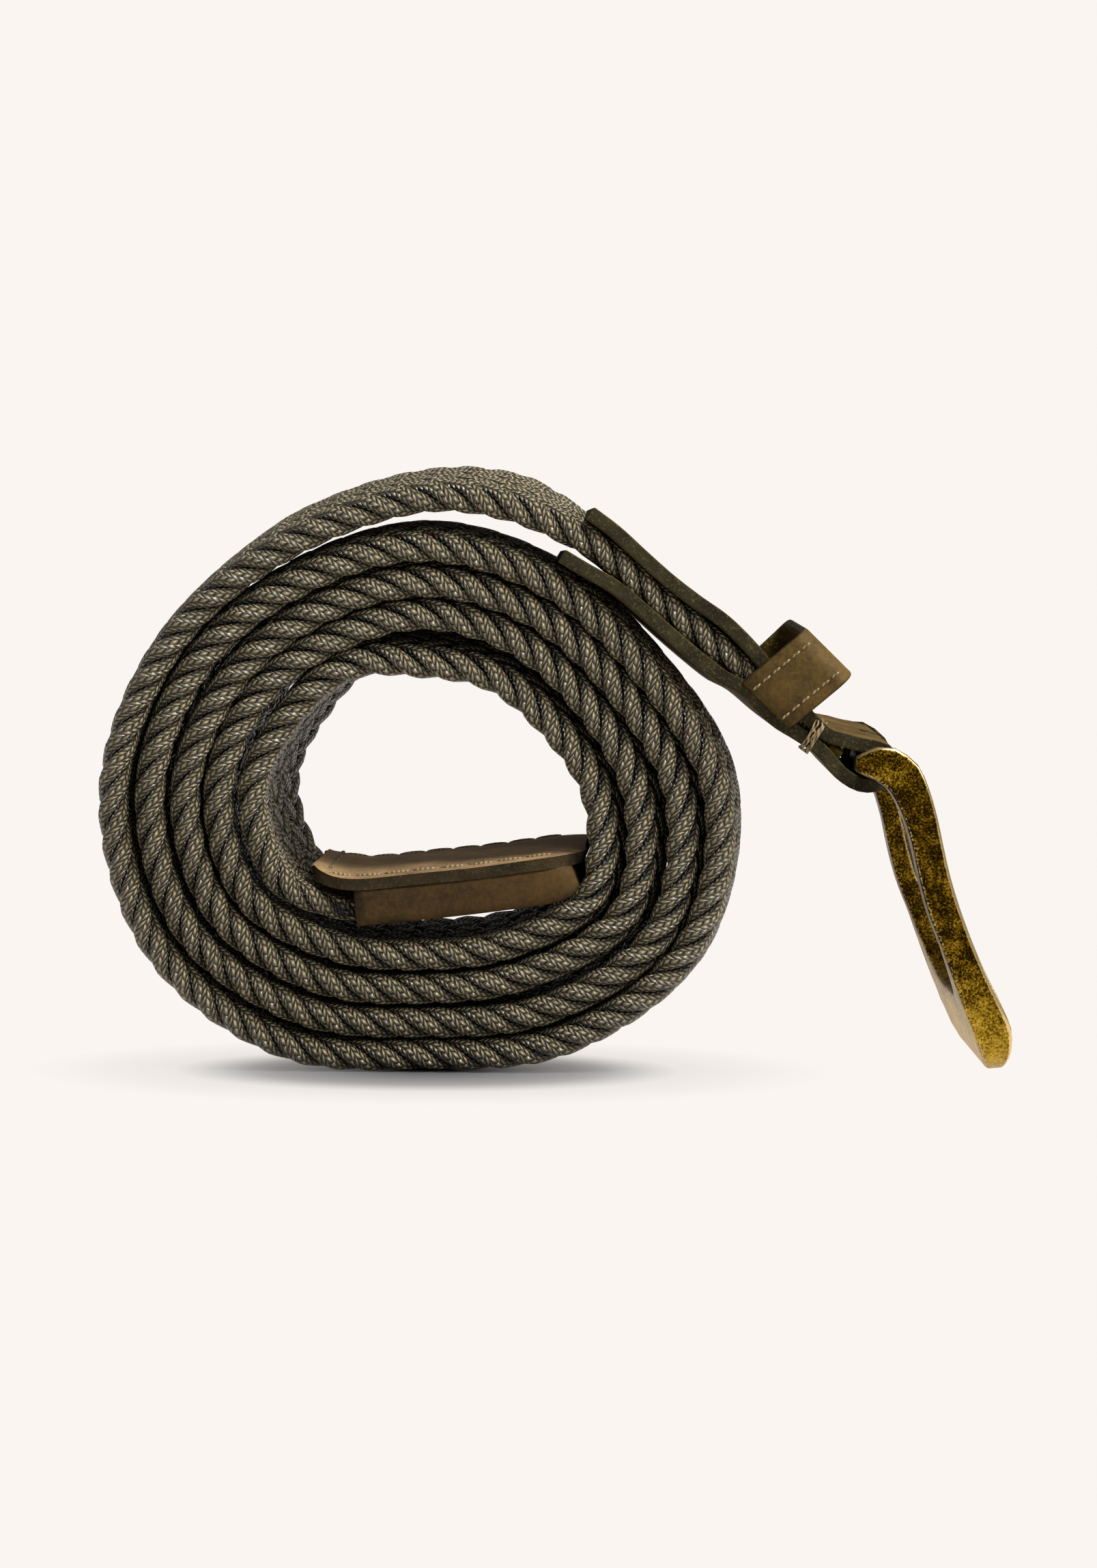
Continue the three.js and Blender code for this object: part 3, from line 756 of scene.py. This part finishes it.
def leather_thickness(piece, thickness, edge=0.28):
    """Gives a leather sheet its thickness and soft edges.

    Its second material is the back's, and its third the cut edge's.
    """
    solid = piece.modifiers.new("thickness", "SOLIDIFY")
    solid.thickness = thickness / 1000
    solid.offset = 0
    solid.use_even_offset = True
    solid.material_offset = 1
    solid.material_offset_rim = 2
    soft = piece.modifiers.new("soft_edges", "BEVEL")
    soft.width = edge / 1000
    soft.segments = 2
    soft.limit_method = "ANGLE"
    soft.angle_limit = radians(50)
    soft.harden_normals = True


leather_thickness(tip, TIP_TAB_THICKNESS)

# The tip's stitches, in waxed tan thread: one row inside each long edge and one across the left end.
STITCH_PITCH = 4.4
# Length, width and height of one stitch
STITCH_SIZE = (4.2, 0.8, 0.55)
STITCH_STAND = 0.02
STITCH_ROW = 14.9
STITCH_ROW_SHARE = 0.86
STITCH_MARGIN = 4.5
END_STITCHES = (-9.6, -4.8, 0, 4.8, 9.6)
END_STITCH_INSET = 2.6
END_STITCH_OUT = (0.3, 0, 1)

thread = Recipe("waxed_thread")
thread_place = thread.node("TexCoord", out=3)
thread_twist = thread.node("TexWave", Vector=thread_place, Scale=420, Distortion=3, Detail=2)
thread_tone = thread.ramp(thread_twist, (0.0, (0.1, 0.07, 0.028, 1)), (1.0, (0.34, 0.25, 0.12, 1)))
thread_material = thread.finish(
    Base_Color=thread_tone,
    Roughness=0.6,
    Normal=thread.bump(thread_twist, 0.0001, 0.7),
)


def stitch(bm, place, ahead, out, size):
    """One stitch: a short length of thread, plump in the middle and sunk in at both ends."""
    ahead = Vector(ahead).normalized()
    beside = Vector(out).cross(ahead).normalized()
    above = ahead.cross(beside)
    turn = Matrix((ahead, beside, above)).transposed()
    stretch = Matrix.Diagonal(Vector(size) / 1000)
    matrix = Matrix.Translation(Vector(in_metres(place))) @ (turn @ stretch).to_4x4()
    bmesh.ops.create_uvsphere(bm, u_segments=8, v_segments=5, radius=0.5, matrix=matrix)


tip_read, _ = smooth_line(TIP_TAB_ROWS)
stitches_bm = bmesh.new()
for side in (-1, 1):
    for distance in np.arange(STITCH_MARGIN, tip_length - STITCH_MARGIN, STITCH_PITCH):
        here, ahead = tip_read([distance, distance + 0.5])
        height = TIP_TAB_THICKNESS / 2 - tip_sag(side * STITCH_ROW_SHARE) + STITCH_STAND
        place = (here[0], side * STITCH_ROW, here[1] + height)
        run = (ahead[0] - here[0], 0, ahead[1] - here[1])
        stitch(stitches_bm, place, run, (0, 0, 1), STITCH_SIZE)
for across in END_STITCHES:
    here = tip_read([END_STITCH_INSET])[0]
    place = (here[0], across, here[1] + TIP_TAB_THICKNESS / 2 + STITCH_STAND)
    stitch(stitches_bm, place, (0, 1, 0), END_STITCH_OUT, STITCH_SIZE)
finished_piece("tip_stitches", stitches_bm, [thread_material], "strap")


# The buckle's tab: one thick strip of the same hide, folded round the hinge bar, with the strap's
# outer end between its layers and a slot cut in the fold for the prong. Its cut edges are raw.

# x and z of the middle of the upper layer, from the coil to the fold, and of the lower one back
TAB_UPPER = [
    (5.2, 86.2),
    (9.1, 83.3),
    (13.3, 79.5),
    (17.4, 75.9),
    (21.6, 72.7),
    (25.8, 69.75),
    (30.2, 65.4),
    (33.9, 60.6),
    (37.2, 56.9),
    (39.4, 54.5),
    (41.6, 52.6),
    (44.6, 51.7),
    (47.0, 51.1),
]
TAB_LOWER = [
    (46.4, 45.1),
    (43.7, 46.7),
    (42.2, 48.4),
    (40.2, 50.6),
    (36.8, 52.9),
    (33.7, 54.8),
    (28.4, 59.9),
    (25.8, 61.2),
    (21.6, 64.4),
    (17.4, 67.9),
    (13.2, 71.6),
    (9.0, 75.0),
    (4.8, 77.4),
    (0.9, 79.7),
]
TAB_THICKNESS = 2.2
TAB_STEP = 1.2
TAB_COLUMNS = (-17, -16, -13, -10, -7.5, -5, -2.7, 0, 2.7, 5, 7.5, 10, 13, 16, 17)
HINGE = (48.7, 47.9)
FOLD_RADIUS = 2.9
FOLD_ANGLES = (90, 45, 0, -45, -90)
# The slot takes the columns inside this half width, where x is past its start
SLOT_HALF_WIDTH = 2.6
SLOT_START = 48.6
# How far each millimetre of width carries the leather back towards the coil, by x, and how far the
# far edge stands lower than the near one
TAB_TURN = ((0, 0.025), (34, 0.045), (45, 0.095))
TAB_DROP = ((0, 2.4), (28, 2.4), (38, 0.9), (44, 0))
TAB_DROP_DIRECTION = Vector((-0.64, 0, -0.77))


def twist_tab(places):
    """Twists places on the tab from the coil's line into the buckle's."""
    turned = np.array(places, float)
    turn = np.interp(turned[..., 0], *zip(*TAB_TURN))
    drop = np.interp(turned[..., 0], *zip(*TAB_DROP)) * (turned[..., 1] - NEAR_EDGE) / STRAP_WIDTH
    turned[..., 0] -= turn * (turned[..., 1] - NEAR_EDGE)
    return turned + drop[..., None] * np.array(TAB_DROP_DIRECTION)


tab_fold = []
for degrees in FOLD_ANGLES:
    angle = radians(degrees)
    tab_fold.append((HINGE[0] + FOLD_RADIUS * cos(angle), HINGE[1] + FOLD_RADIUS * sin(angle)))
tab_stations, tab_rows, _ = along_rows(TAB_UPPER + tab_fold + TAB_LOWER, TAB_STEP)
tab_across = np.array([TAB_COLUMNS])
tab_grid = np.broadcast_arrays(tab_rows[:, :1], tab_across, tab_rows[:, 1:2])
tab_places = np.stack(tab_grid, axis=2)
in_slot = (tab_places[..., 0] > SLOT_START) & (np.abs(tab_places[..., 1]) < SLOT_HALF_WIDTH)
tab_places = twist_tab(tab_places)
tab_bm = bmesh.new()
rolled_sheet(tab_bm, tab_places, tab_stations, closed=False)

slot_verts = []
for place in in_metres(tab_places[in_slot]):
    slot_verts += [vert for vert in tab_bm.verts if (vert.co - Vector(place)).length < 1e-6]
bmesh.ops.delete(tab_bm, geom=slot_verts, context="VERTS")

tab_grain = leather_grain(
    "tab_leather_grain",
    dark=(0.035, 0.019, 0.003, 1),
    light=(0.145, 0.087, 0.019, 1),
    grain=0.6,
)
tab_suede = cut_edge(
    "tab_leather_back",
    dark=(0.035, 0.024, 0.002, 1),
    speck=(0.3, 0.21, 0.03, 1),
    rim=(0.12, 0.083, 0.008, 1),
)
tab_edge = cut_edge(
    "tab_leather_edge",
    dark=(0.015, 0.012, 0.004, 1),
    speck=(0.15, 0.12, 0.04, 1),
    rim=(0.045, 0.036, 0.013, 1),
)
tab_leathers = [tab_grain, tab_suede, tab_edge]
tab = finished_piece("buckle_tab_leather", tab_bm, tab_leathers, "strap")
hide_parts("buckle_tab")
leather_thickness(tab, TAB_THICKNESS)

# A narrow strip of packing on each side of the slot, glued between the layers behind the hinge bar.
PACKING_ROWS = [
    (41.8, 50.6, 1.6, 12),
    (43.0, 49.65, 2.0, 12),
    (44.1, 48.75, 2.2, 12),
]
PACKING_EDGE = 0.6
PACKING_STEP = 0.7
PACKING_OFFSET = 10

packing_rings, packing_runs = flat_tube(PACKING_ROWS, PACKING_EDGE, step=PACKING_STEP)
packing_bm = bmesh.new()
for across in (-PACKING_OFFSET, PACKING_OFFSET):
    packing_places = twist_tab(packing_rings + np.array([0, across, 0]))
    rolled_sheet(packing_bm, packing_places, packing_runs, closed=True)
finished_piece("tab_packing", packing_bm, [tab_suede], "strap")


# The seam that closes the fold: a few turns of waxed thread whipped over both layers' near edges,
# pulled tight behind the hinge bar and knotted there.

# Where the seam starts and ends on the near edge, the step from one turn to the next, and how far
# the turns sway
SEAM_TOP = Vector((40.2, -17, 54.2))
SEAM_BOTTOM = Vector((38.3, -17, 50.8))
SEAM_SPREAD = Vector((0.2604, 0, -0.189))
SEAM_SWAY = Vector((0.5, 0, 0.35))
SEAM_SWAY_STEP = 2.4
SEAM_TURNS = 6
SEAM_THREAD = 0.15
SEAM_POINTS = 25
# The places one turn of thread passes: the share of the way down the seam, the shares of the spread
# along the edge and of the sway, and how far the thread stands off
SEAM_LOOP = [
    (0, 1, 0, (0.5, 3.2, 0.5)),
    (0, 1, 0, (0.3, 0.4, 0.5)),
    (0, 1, 1, (-0.1, -0.5, -0.4)),
    (0.5, 0.7, -1, (0, -0.75, 0)),
    (1, 0.9, 1, (0.2, -0.5, 0.3)),
    (1, 0.9, 0, (-0.5, 0.5, -0.6)),
    (1, 0.9, 0, (-0.5, 3.2, -0.6)),
]

seam_curve = bpy.data.curves.new("seam_thread", "CURVE")
seam_curve.dimensions = "3D"
seam_curve.bevel_depth = SEAM_THREAD / 1000
seam_curve.bevel_resolution = 2
for number in range(SEAM_TURNS):
    along = SEAM_SPREAD * (number - (SEAM_TURNS - 1) / 2)
    sway = SEAM_SWAY * sin(SEAM_SWAY_STEP * number)
    loop = []
    for down, along_share, sway_share, off in SEAM_LOOP:
        place = SEAM_TOP.lerp(SEAM_BOTTOM, down) + along * along_share
        loop.append(place + sway * sway_share + Vector(off))
    loop = np.array(loop)
    spline = seam_curve.splines.new("POLY")
    spline.points.add(SEAM_POINTS - 1)
    steps = np.linspace(0, len(loop) - 1, SEAM_POINTS)
    for point, step in zip(spline.points, steps):
        place = [np.interp(step, np.arange(len(loop)), axis) for axis in loop.T]
        point.co = (*in_metres(place), 1)
seam_curve.materials.append(thread_material)
seam = bpy.data.objects.new("seam_thread", seam_curve)
bpy.context.collection.objects.link(seam)
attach(seam, "strap")


# The keeper: a band of thinner leather round the tab's upper layer, with two rows of stitches down
# its near side. Its lower leg slips between the layers, and the belt's tip passes through the rest.

# The keeper's lower left corner, its directions along the tab and away from it, and its sizes there
KEEPER_CORNER = Vector((27.9, 0, 60.3))
KEEPER_ALONG = Vector((0.712, 0, -0.702))
KEEPER_UP = Vector((0.766, 0, 0.643))
KEEPER_LENGTH = 10.2
KEEPER_TOP = 13.4
KEEPER_BOTTOM = 0.3
KEEPER_HALF_WIDTH = 18.8
KEEPER_THICKNESS = 1.5
KEEPER_ROUNDING = 2.4
KEEPER_EDGE = 0.5
KEEPER_ROWS = 6
KEEPER_STITCH_ROWS = (2.0, 8.2)
KEEPER_STITCH_HEIGHTS = np.arange(1.6, 12.6, 1.95)
KEEPER_STITCH_SIZE = (1.75, 0.42, 0.45)
KEEPER_STITCH_SINK = 0.05


def on_keeper(along, across, up):
    """A place given in the keeper's own directions, in the belt's frame."""
    return KEEPER_CORNER + KEEPER_ALONG * along + KEEPER_UP * up + Vector((0, across, 0))


keeper_middle = (KEEPER_TOP + KEEPER_BOTTOM) / 2
keeper_outline = rounded_section(
    2 * KEEPER_HALF_WIDTH - KEEPER_THICKNESS,
    KEEPER_TOP - KEEPER_BOTTOM - KEEPER_THICKNESS,
    KEEPER_ROUNDING,
    steps=6,
)
keeper_outline = keeper_outline[::-1]
keeper_alongs = np.linspace(0, KEEPER_LENGTH, KEEPER_ROWS)
keeper_places = np.array([
    [on_keeper(along, across, keeper_middle + out) for along in keeper_alongs]
    for across, out in keeper_outline
])
keeper_runs = np.concatenate([[0], np.cumsum(np.hypot(*np.diff(keeper_outline, axis=0).T))])
keeper_bm = bmesh.new()
rolled_sheet(keeper_bm, twist_tab(keeper_places), keeper_runs, closed=True, filled=False)
keeper = finished_piece("keeper_leather", keeper_bm, tab_leathers, "strap")
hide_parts("keeper_loop")
leather_thickness(keeper, KEEPER_THICKNESS, KEEPER_EDGE)

keeper_stitches_bm = bmesh.new()
for along in KEEPER_STITCH_ROWS:
    for up in KEEPER_STITCH_HEIGHTS:
        place = twist_tab(on_keeper(along, -KEEPER_HALF_WIDTH + KEEPER_STITCH_SINK, up))
        stitch(keeper_stitches_bm, place, KEEPER_UP, (0, -1, 0), KEEPER_STITCH_SIZE)
finished_piece("keeper_stitches", keeper_stitches_bm, [thread_material], "strap")


# The buckle's frame: a cast brass U, bent to the curve of the waist and closed at the top by a
# round bar that runs through the tab's fold. It has a dark antique finish, bright on the edges partly
# as worn brass and partly as painted highlight.

# x, z and thickness of the frame in its side view, from the hinge bar to the end bar
FRAME_PROFILE = [
    (45.3, 48.9, 2.6),
    (46.7, 48.95, 4.1),
    (49.5, 48.9, 6.1),
    (52.3, 47.1, 6.2),
    (53.65, 44.8, 5.7),
    (55.15, 40.85, 5.1),
    (56.25, 36.6, 4.75),
    (57.2, 32.2, 4.8),
    (58.7, 26.95, 4.9),
    (60.65, 21.8, 4.7),
    (62.6, 16.8, 5.0),
    (64.6, 12.2, 5.5),
    (66.5, 7.6, 5.7),
    (67.3, 3.9, 4.5),
    (67.5, 1.4, 2.6),
]
FRAME_HALF_WIDTH = 24
WINDOW_HALF_WIDTH = 19
END_BAR_WIDTH = 11.7
FRAME_CORNER = 9
WINDOW_CORNER = 13
FRAME_EDGE = 0.9
FRAME_STEPS = 200
STRAIGHT_ROWS = 30
CORNER_SHARES = np.linspace(0, pi / 2, 9)[1:-1]
# The side bars get thinner towards the window, within this length above the end bar, to this share
WINDOW_EDGE_SHARE = 0.6
THINNING_LENGTH = 8
HINGE_BAR_RADIUS = 1.8
HINGE_BAR_END = 1.5
HINGE_BAR_ROWS = 12
HINGE_BAR_SIDES = 24
HINGE_BAR_WEAR = 0.15
BUCKLE_TURN = 0.095
NOTCH_HALF_WIDTH = 2.2
NOTCH_DEPTH = 1.25
NOTCH_TOP = 25
# Rows across the end bar: shares of the way from the corner to the notch, then places at the notch
END_BAR_SHARES = np.array([-1, -0.7, -0.4, -0.1])
NOTCH_MARGIN = 3
NOTCH_ROWS = [-2.7, -2.25, -2.15, -1]
# How bright each corner of the section is, partly worn brass and partly painted highlight, and its
# five points within that
CORNER_WEAR_AND_HIGHLIGHT = (1.0, 0.75, 0.6, 0.6)
POINT_WEAR_AND_HIGHLIGHT = np.array((0.1, 0.8, 1.0, 0.8, 0.1))
# x, z, thickness and width of the prong, whose line the notch follows
PRONG_PROFILE = [
    (51.65, 49.1, 1.9, 3.2),
    (58.7, 31.9, 1.9, 3.2),
    (66.2, 15.2, 1.9, 3.2),
    (68.1, 10.7, 1.8, 2.8),
    (68.8, 9.0, 1.2, 1.8),
]


def on_buckle(places):
    """Turns places given in the side view of the buckle into its hanging direction."""
    places = np.array(places, float)
    x = places[..., 0] - HINGE[0]
    y = places[..., 1]
    turn = np.arctan(BUCKLE_TURN)
    hung = places.copy()
    hung[..., 0] = x * cos(turn) - y * sin(turn) + HINGE[0] + BUCKLE_TURN * NEAR_EDGE
    hung[..., 1] = x * sin(turn) + y * cos(turn)
    return hung


frame_line, frame_length = smooth_line(FRAME_PROFILE)
fine_stations = np.linspace(0, frame_length, FRAME_STEPS)
fine_rows = frame_line(fine_stations)
fine_columns = [*fine_rows.T, *normals_of(fine_rows[:, :2]).T]


def frame_edge_line(half_width, end, corner):
    """One edge of the U on the flat, from the near top to the far top: distance down and across."""
    bar = END_BAR_SHARES * (half_width - corner - NOTCH_MARGIN) - NOTCH_MARGIN
    bar = np.concatenate([bar, NOTCH_ROWS])
    down = np.concatenate([
        np.linspace(0, end - corner, STRAIGHT_ROWS),
        end - corner + corner * np.sin(CORNER_SHARES),
        np.full(len(bar), end),
    ])
    across = np.concatenate([
        np.full(STRAIGHT_ROWS, -half_width),
        -(half_width - corner + corner * np.cos(CORNER_SHARES)),
        bar,
    ])
    near_half = np.column_stack([down, across])
    return np.vstack([near_half, near_half[::-1] * (1, -1)])


outer_line = frame_edge_line(FRAME_HALF_WIDTH, frame_length, FRAME_CORNER)
inner_line = frame_edge_line(WINDOW_HALF_WIDTH, frame_length - END_BAR_WIDTH, WINDOW_CORNER)
inner_line[:, 0] = np.maximum(inner_line[:, 0], 0)
frame_rings = []
for outer, inner in zip(outer_line, inner_line):
    bar_width = np.hypot(*(outer - inner))
    middle = (outer + inner) / 2
    thick = np.interp(middle[0], fine_stations, fine_rows[:, 2])
    above_end_bar = frame_length - END_BAR_WIDTH - middle[0]
    inner_share = np.interp(above_end_bar, (0, THINNING_LENGTH), (1, WINDOW_EDGE_SHARE))
    ring = []
    for aside, out in rounded_section(bar_width, thick, FRAME_EDGE):
        share = np.interp(aside, (-bar_width / 2, bar_width / 2), (inner_share, 1))
        down, across = middle + (outer - inner) / bar_width * aside
        x, z, local, out_x, out_z = [np.interp(down, fine_stations, column) for column in fine_columns]
        height = (share * (out + thick / 2) - thick / 2) * local / thick
        ring.append((x + out_x * height, across, z + out_z * height))
    frame_rings.append(ring)
frame_places = np.array(frame_rings)

# The notch in the end bar, in which the prong's point lies
notch_from, notch_to = (np.array(PRONG_PROFILE[i][:2]) for i in (2, 3))
notch_ahead = (notch_to - notch_from) / np.hypot(*(notch_to - notch_from))
notch_out = np.array([-notch_ahead[1], notch_ahead[0]])
standing = (frame_places[..., [0, 2]] - notch_from) @ notch_out + NOTCH_DEPTH
in_middle = np.abs(frame_places[..., 1]) < NOTCH_HALF_WIDTH
in_notch = in_middle & (standing > 0) & (frame_places[..., 2] < NOTCH_TOP)
frame_places[..., 0] -= np.where(in_notch, standing * notch_out[0], 0)
frame_places[..., 2] -= np.where(in_notch, standing * notch_out[1], 0)

# The brightness of each point round the section: worn brass and painted highlight.
section_wear_and_highlight = np.concatenate([POINT_WEAR_AND_HIGHLIGHT * rubbed_and_lit for rubbed_and_lit in CORNER_WEAR_AND_HIGHLIGHT])
section_wear_and_highlight = np.append(section_wear_and_highlight, section_wear_and_highlight[0])
frame_runs = np.arange(len(frame_places), dtype=float)
frame_bm = bmesh.new()
rolled_sheet(frame_bm, on_buckle(frame_places), frame_runs, closed=True, marks=section_wear_and_highlight)


def round_hinge(radius, across, angle):
    """A place round the hinge line."""
    return HINGE[0] + radius * cos(angle), across, HINGE[1] + radius * sin(angle)


bar_end = WINDOW_HALF_WIDTH + HINGE_BAR_END
bar_angles = np.linspace(0, 2 * pi, HINGE_BAR_SIDES + 1)
bar_rings = [
    [round_hinge(HINGE_BAR_RADIUS, across, angle) for angle in bar_angles]
    for across in np.linspace(-bar_end, bar_end, HINGE_BAR_ROWS)
]
bar_runs = np.arange(HINGE_BAR_ROWS, dtype=float)
bar_marks = np.full(HINGE_BAR_SIDES + 1, HINGE_BAR_WEAR)
rolled_sheet(frame_bm, on_buckle(bar_rings), bar_runs, closed=True, marks=bar_marks)

brass = Recipe("antique_brass")
brass_wear_and_highlight = brass.axes(brass.node("UVMap", uv_map="UVMap"))["Y"]
brass_place = brass.node("TexCoord", out=3)
brass_cloud = brass.node("TexNoise", Vector=brass_place, Scale=330, Detail=4, Roughness=0.6)
brass_speck = brass.node("TexNoise", Vector=brass_place, Scale=3000, Detail=3, Roughness=0.7)
brass_low = brass.node("MapRange", brass.axes(brass_place)["Z"], 0.004, 0.022, 0.16, 0.0)
brass_mottle = brass.maths("MULTIPLY_ADD", brass_cloud, 0.4, brass_low)
brass_mottle = brass.maths("MULTIPLY_ADD", brass_speck, 0.65, brass_mottle)
brass_patina = brass.ramp(
    brass_mottle,
    (0.48, (0.014, 0.007, 0.001, 1)),
    (0.55, (0.085, 0.045, 0.002, 1)),
    (0.63, (0.3, 0.175, 0.012, 1)),
    (0.75, (0.62, 0.4, 0.05, 1)),
)
# The bright edge colour: partly worn brass, partly a painted highlight.
brass_rub_and_highlight = brass.maths("SUBTRACT", brass_wear_and_highlight, 0.95)
brass_rub_and_highlight = brass.maths("MULTIPLY_ADD", brass_speck, 0.8, brass_rub_and_highlight)
brass_rub_and_highlight = brass.node("MapRange", brass_rub_and_highlight, 0.0, 0.3, 0, 1)
brass_colour = brass.blend(brass_rub_and_highlight, brass_patina, (0.86, 0.62, 0.25, 1))
brass_material = brass.finish(
    Base_Color=brass_colour,
    Metallic=1.0,
    Roughness=brass.node("MapRange", brass_rub_and_highlight, 0, 1, 0.4, 0.22),
    Normal=brass.bump(brass_speck, 0.00003, 0.4),
)
buckle = finished_piece("buckle_brass", frame_bm, [brass_material], "frame")
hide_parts("buckle_frame")


# The prong: a flat brass bar with a rounded point, bent out of one piece with the eye that turns
# on the hinge bar. It has the frame's antique finish and rests with its point in the notch.
PRONG_EDGE = 0.7
EYE_PLAY = 0.5
EYE_BORE = HINGE_BAR_RADIUS + EYE_PLAY
EYE_RADIUS = 3.4
EYE_WIDTH = 4.0
EYE_EDGE = 0.5
EYE_SIDES = 32
EYE_WEAR = 0.5

prong_rings, prong_runs = flat_tube(PRONG_PROFILE, PRONG_EDGE)
prong_bm = bmesh.new()
# The prong's edges take the frame's bright marks: worn brass and painted highlight.
rolled_sheet(prong_bm, on_buckle(prong_rings), prong_runs, closed=True, marks=section_wear_and_highlight)

eye_section = rounded_section(EYE_WIDTH, EYE_RADIUS - EYE_BORE, EYE_EDGE, steps=3)
eye_middle = (EYE_BORE + EYE_RADIUS) / 2
eye_rings = [
    [round_hinge(eye_middle + out, across, angle) for across, out in eye_section]
    for angle in np.linspace(0, 2 * pi, EYE_SIDES + 1)
]
eye_runs = np.arange(EYE_SIDES + 1, dtype=float)
eye_marks = np.full(len(eye_section), EYE_WEAR)
rolled_sheet(prong_bm, on_buckle(eye_rings), eye_runs, closed=True, marks=eye_marks)
prong = finished_piece("prong_brass", prong_bm, [brass_material], "prong")
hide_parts("prong")
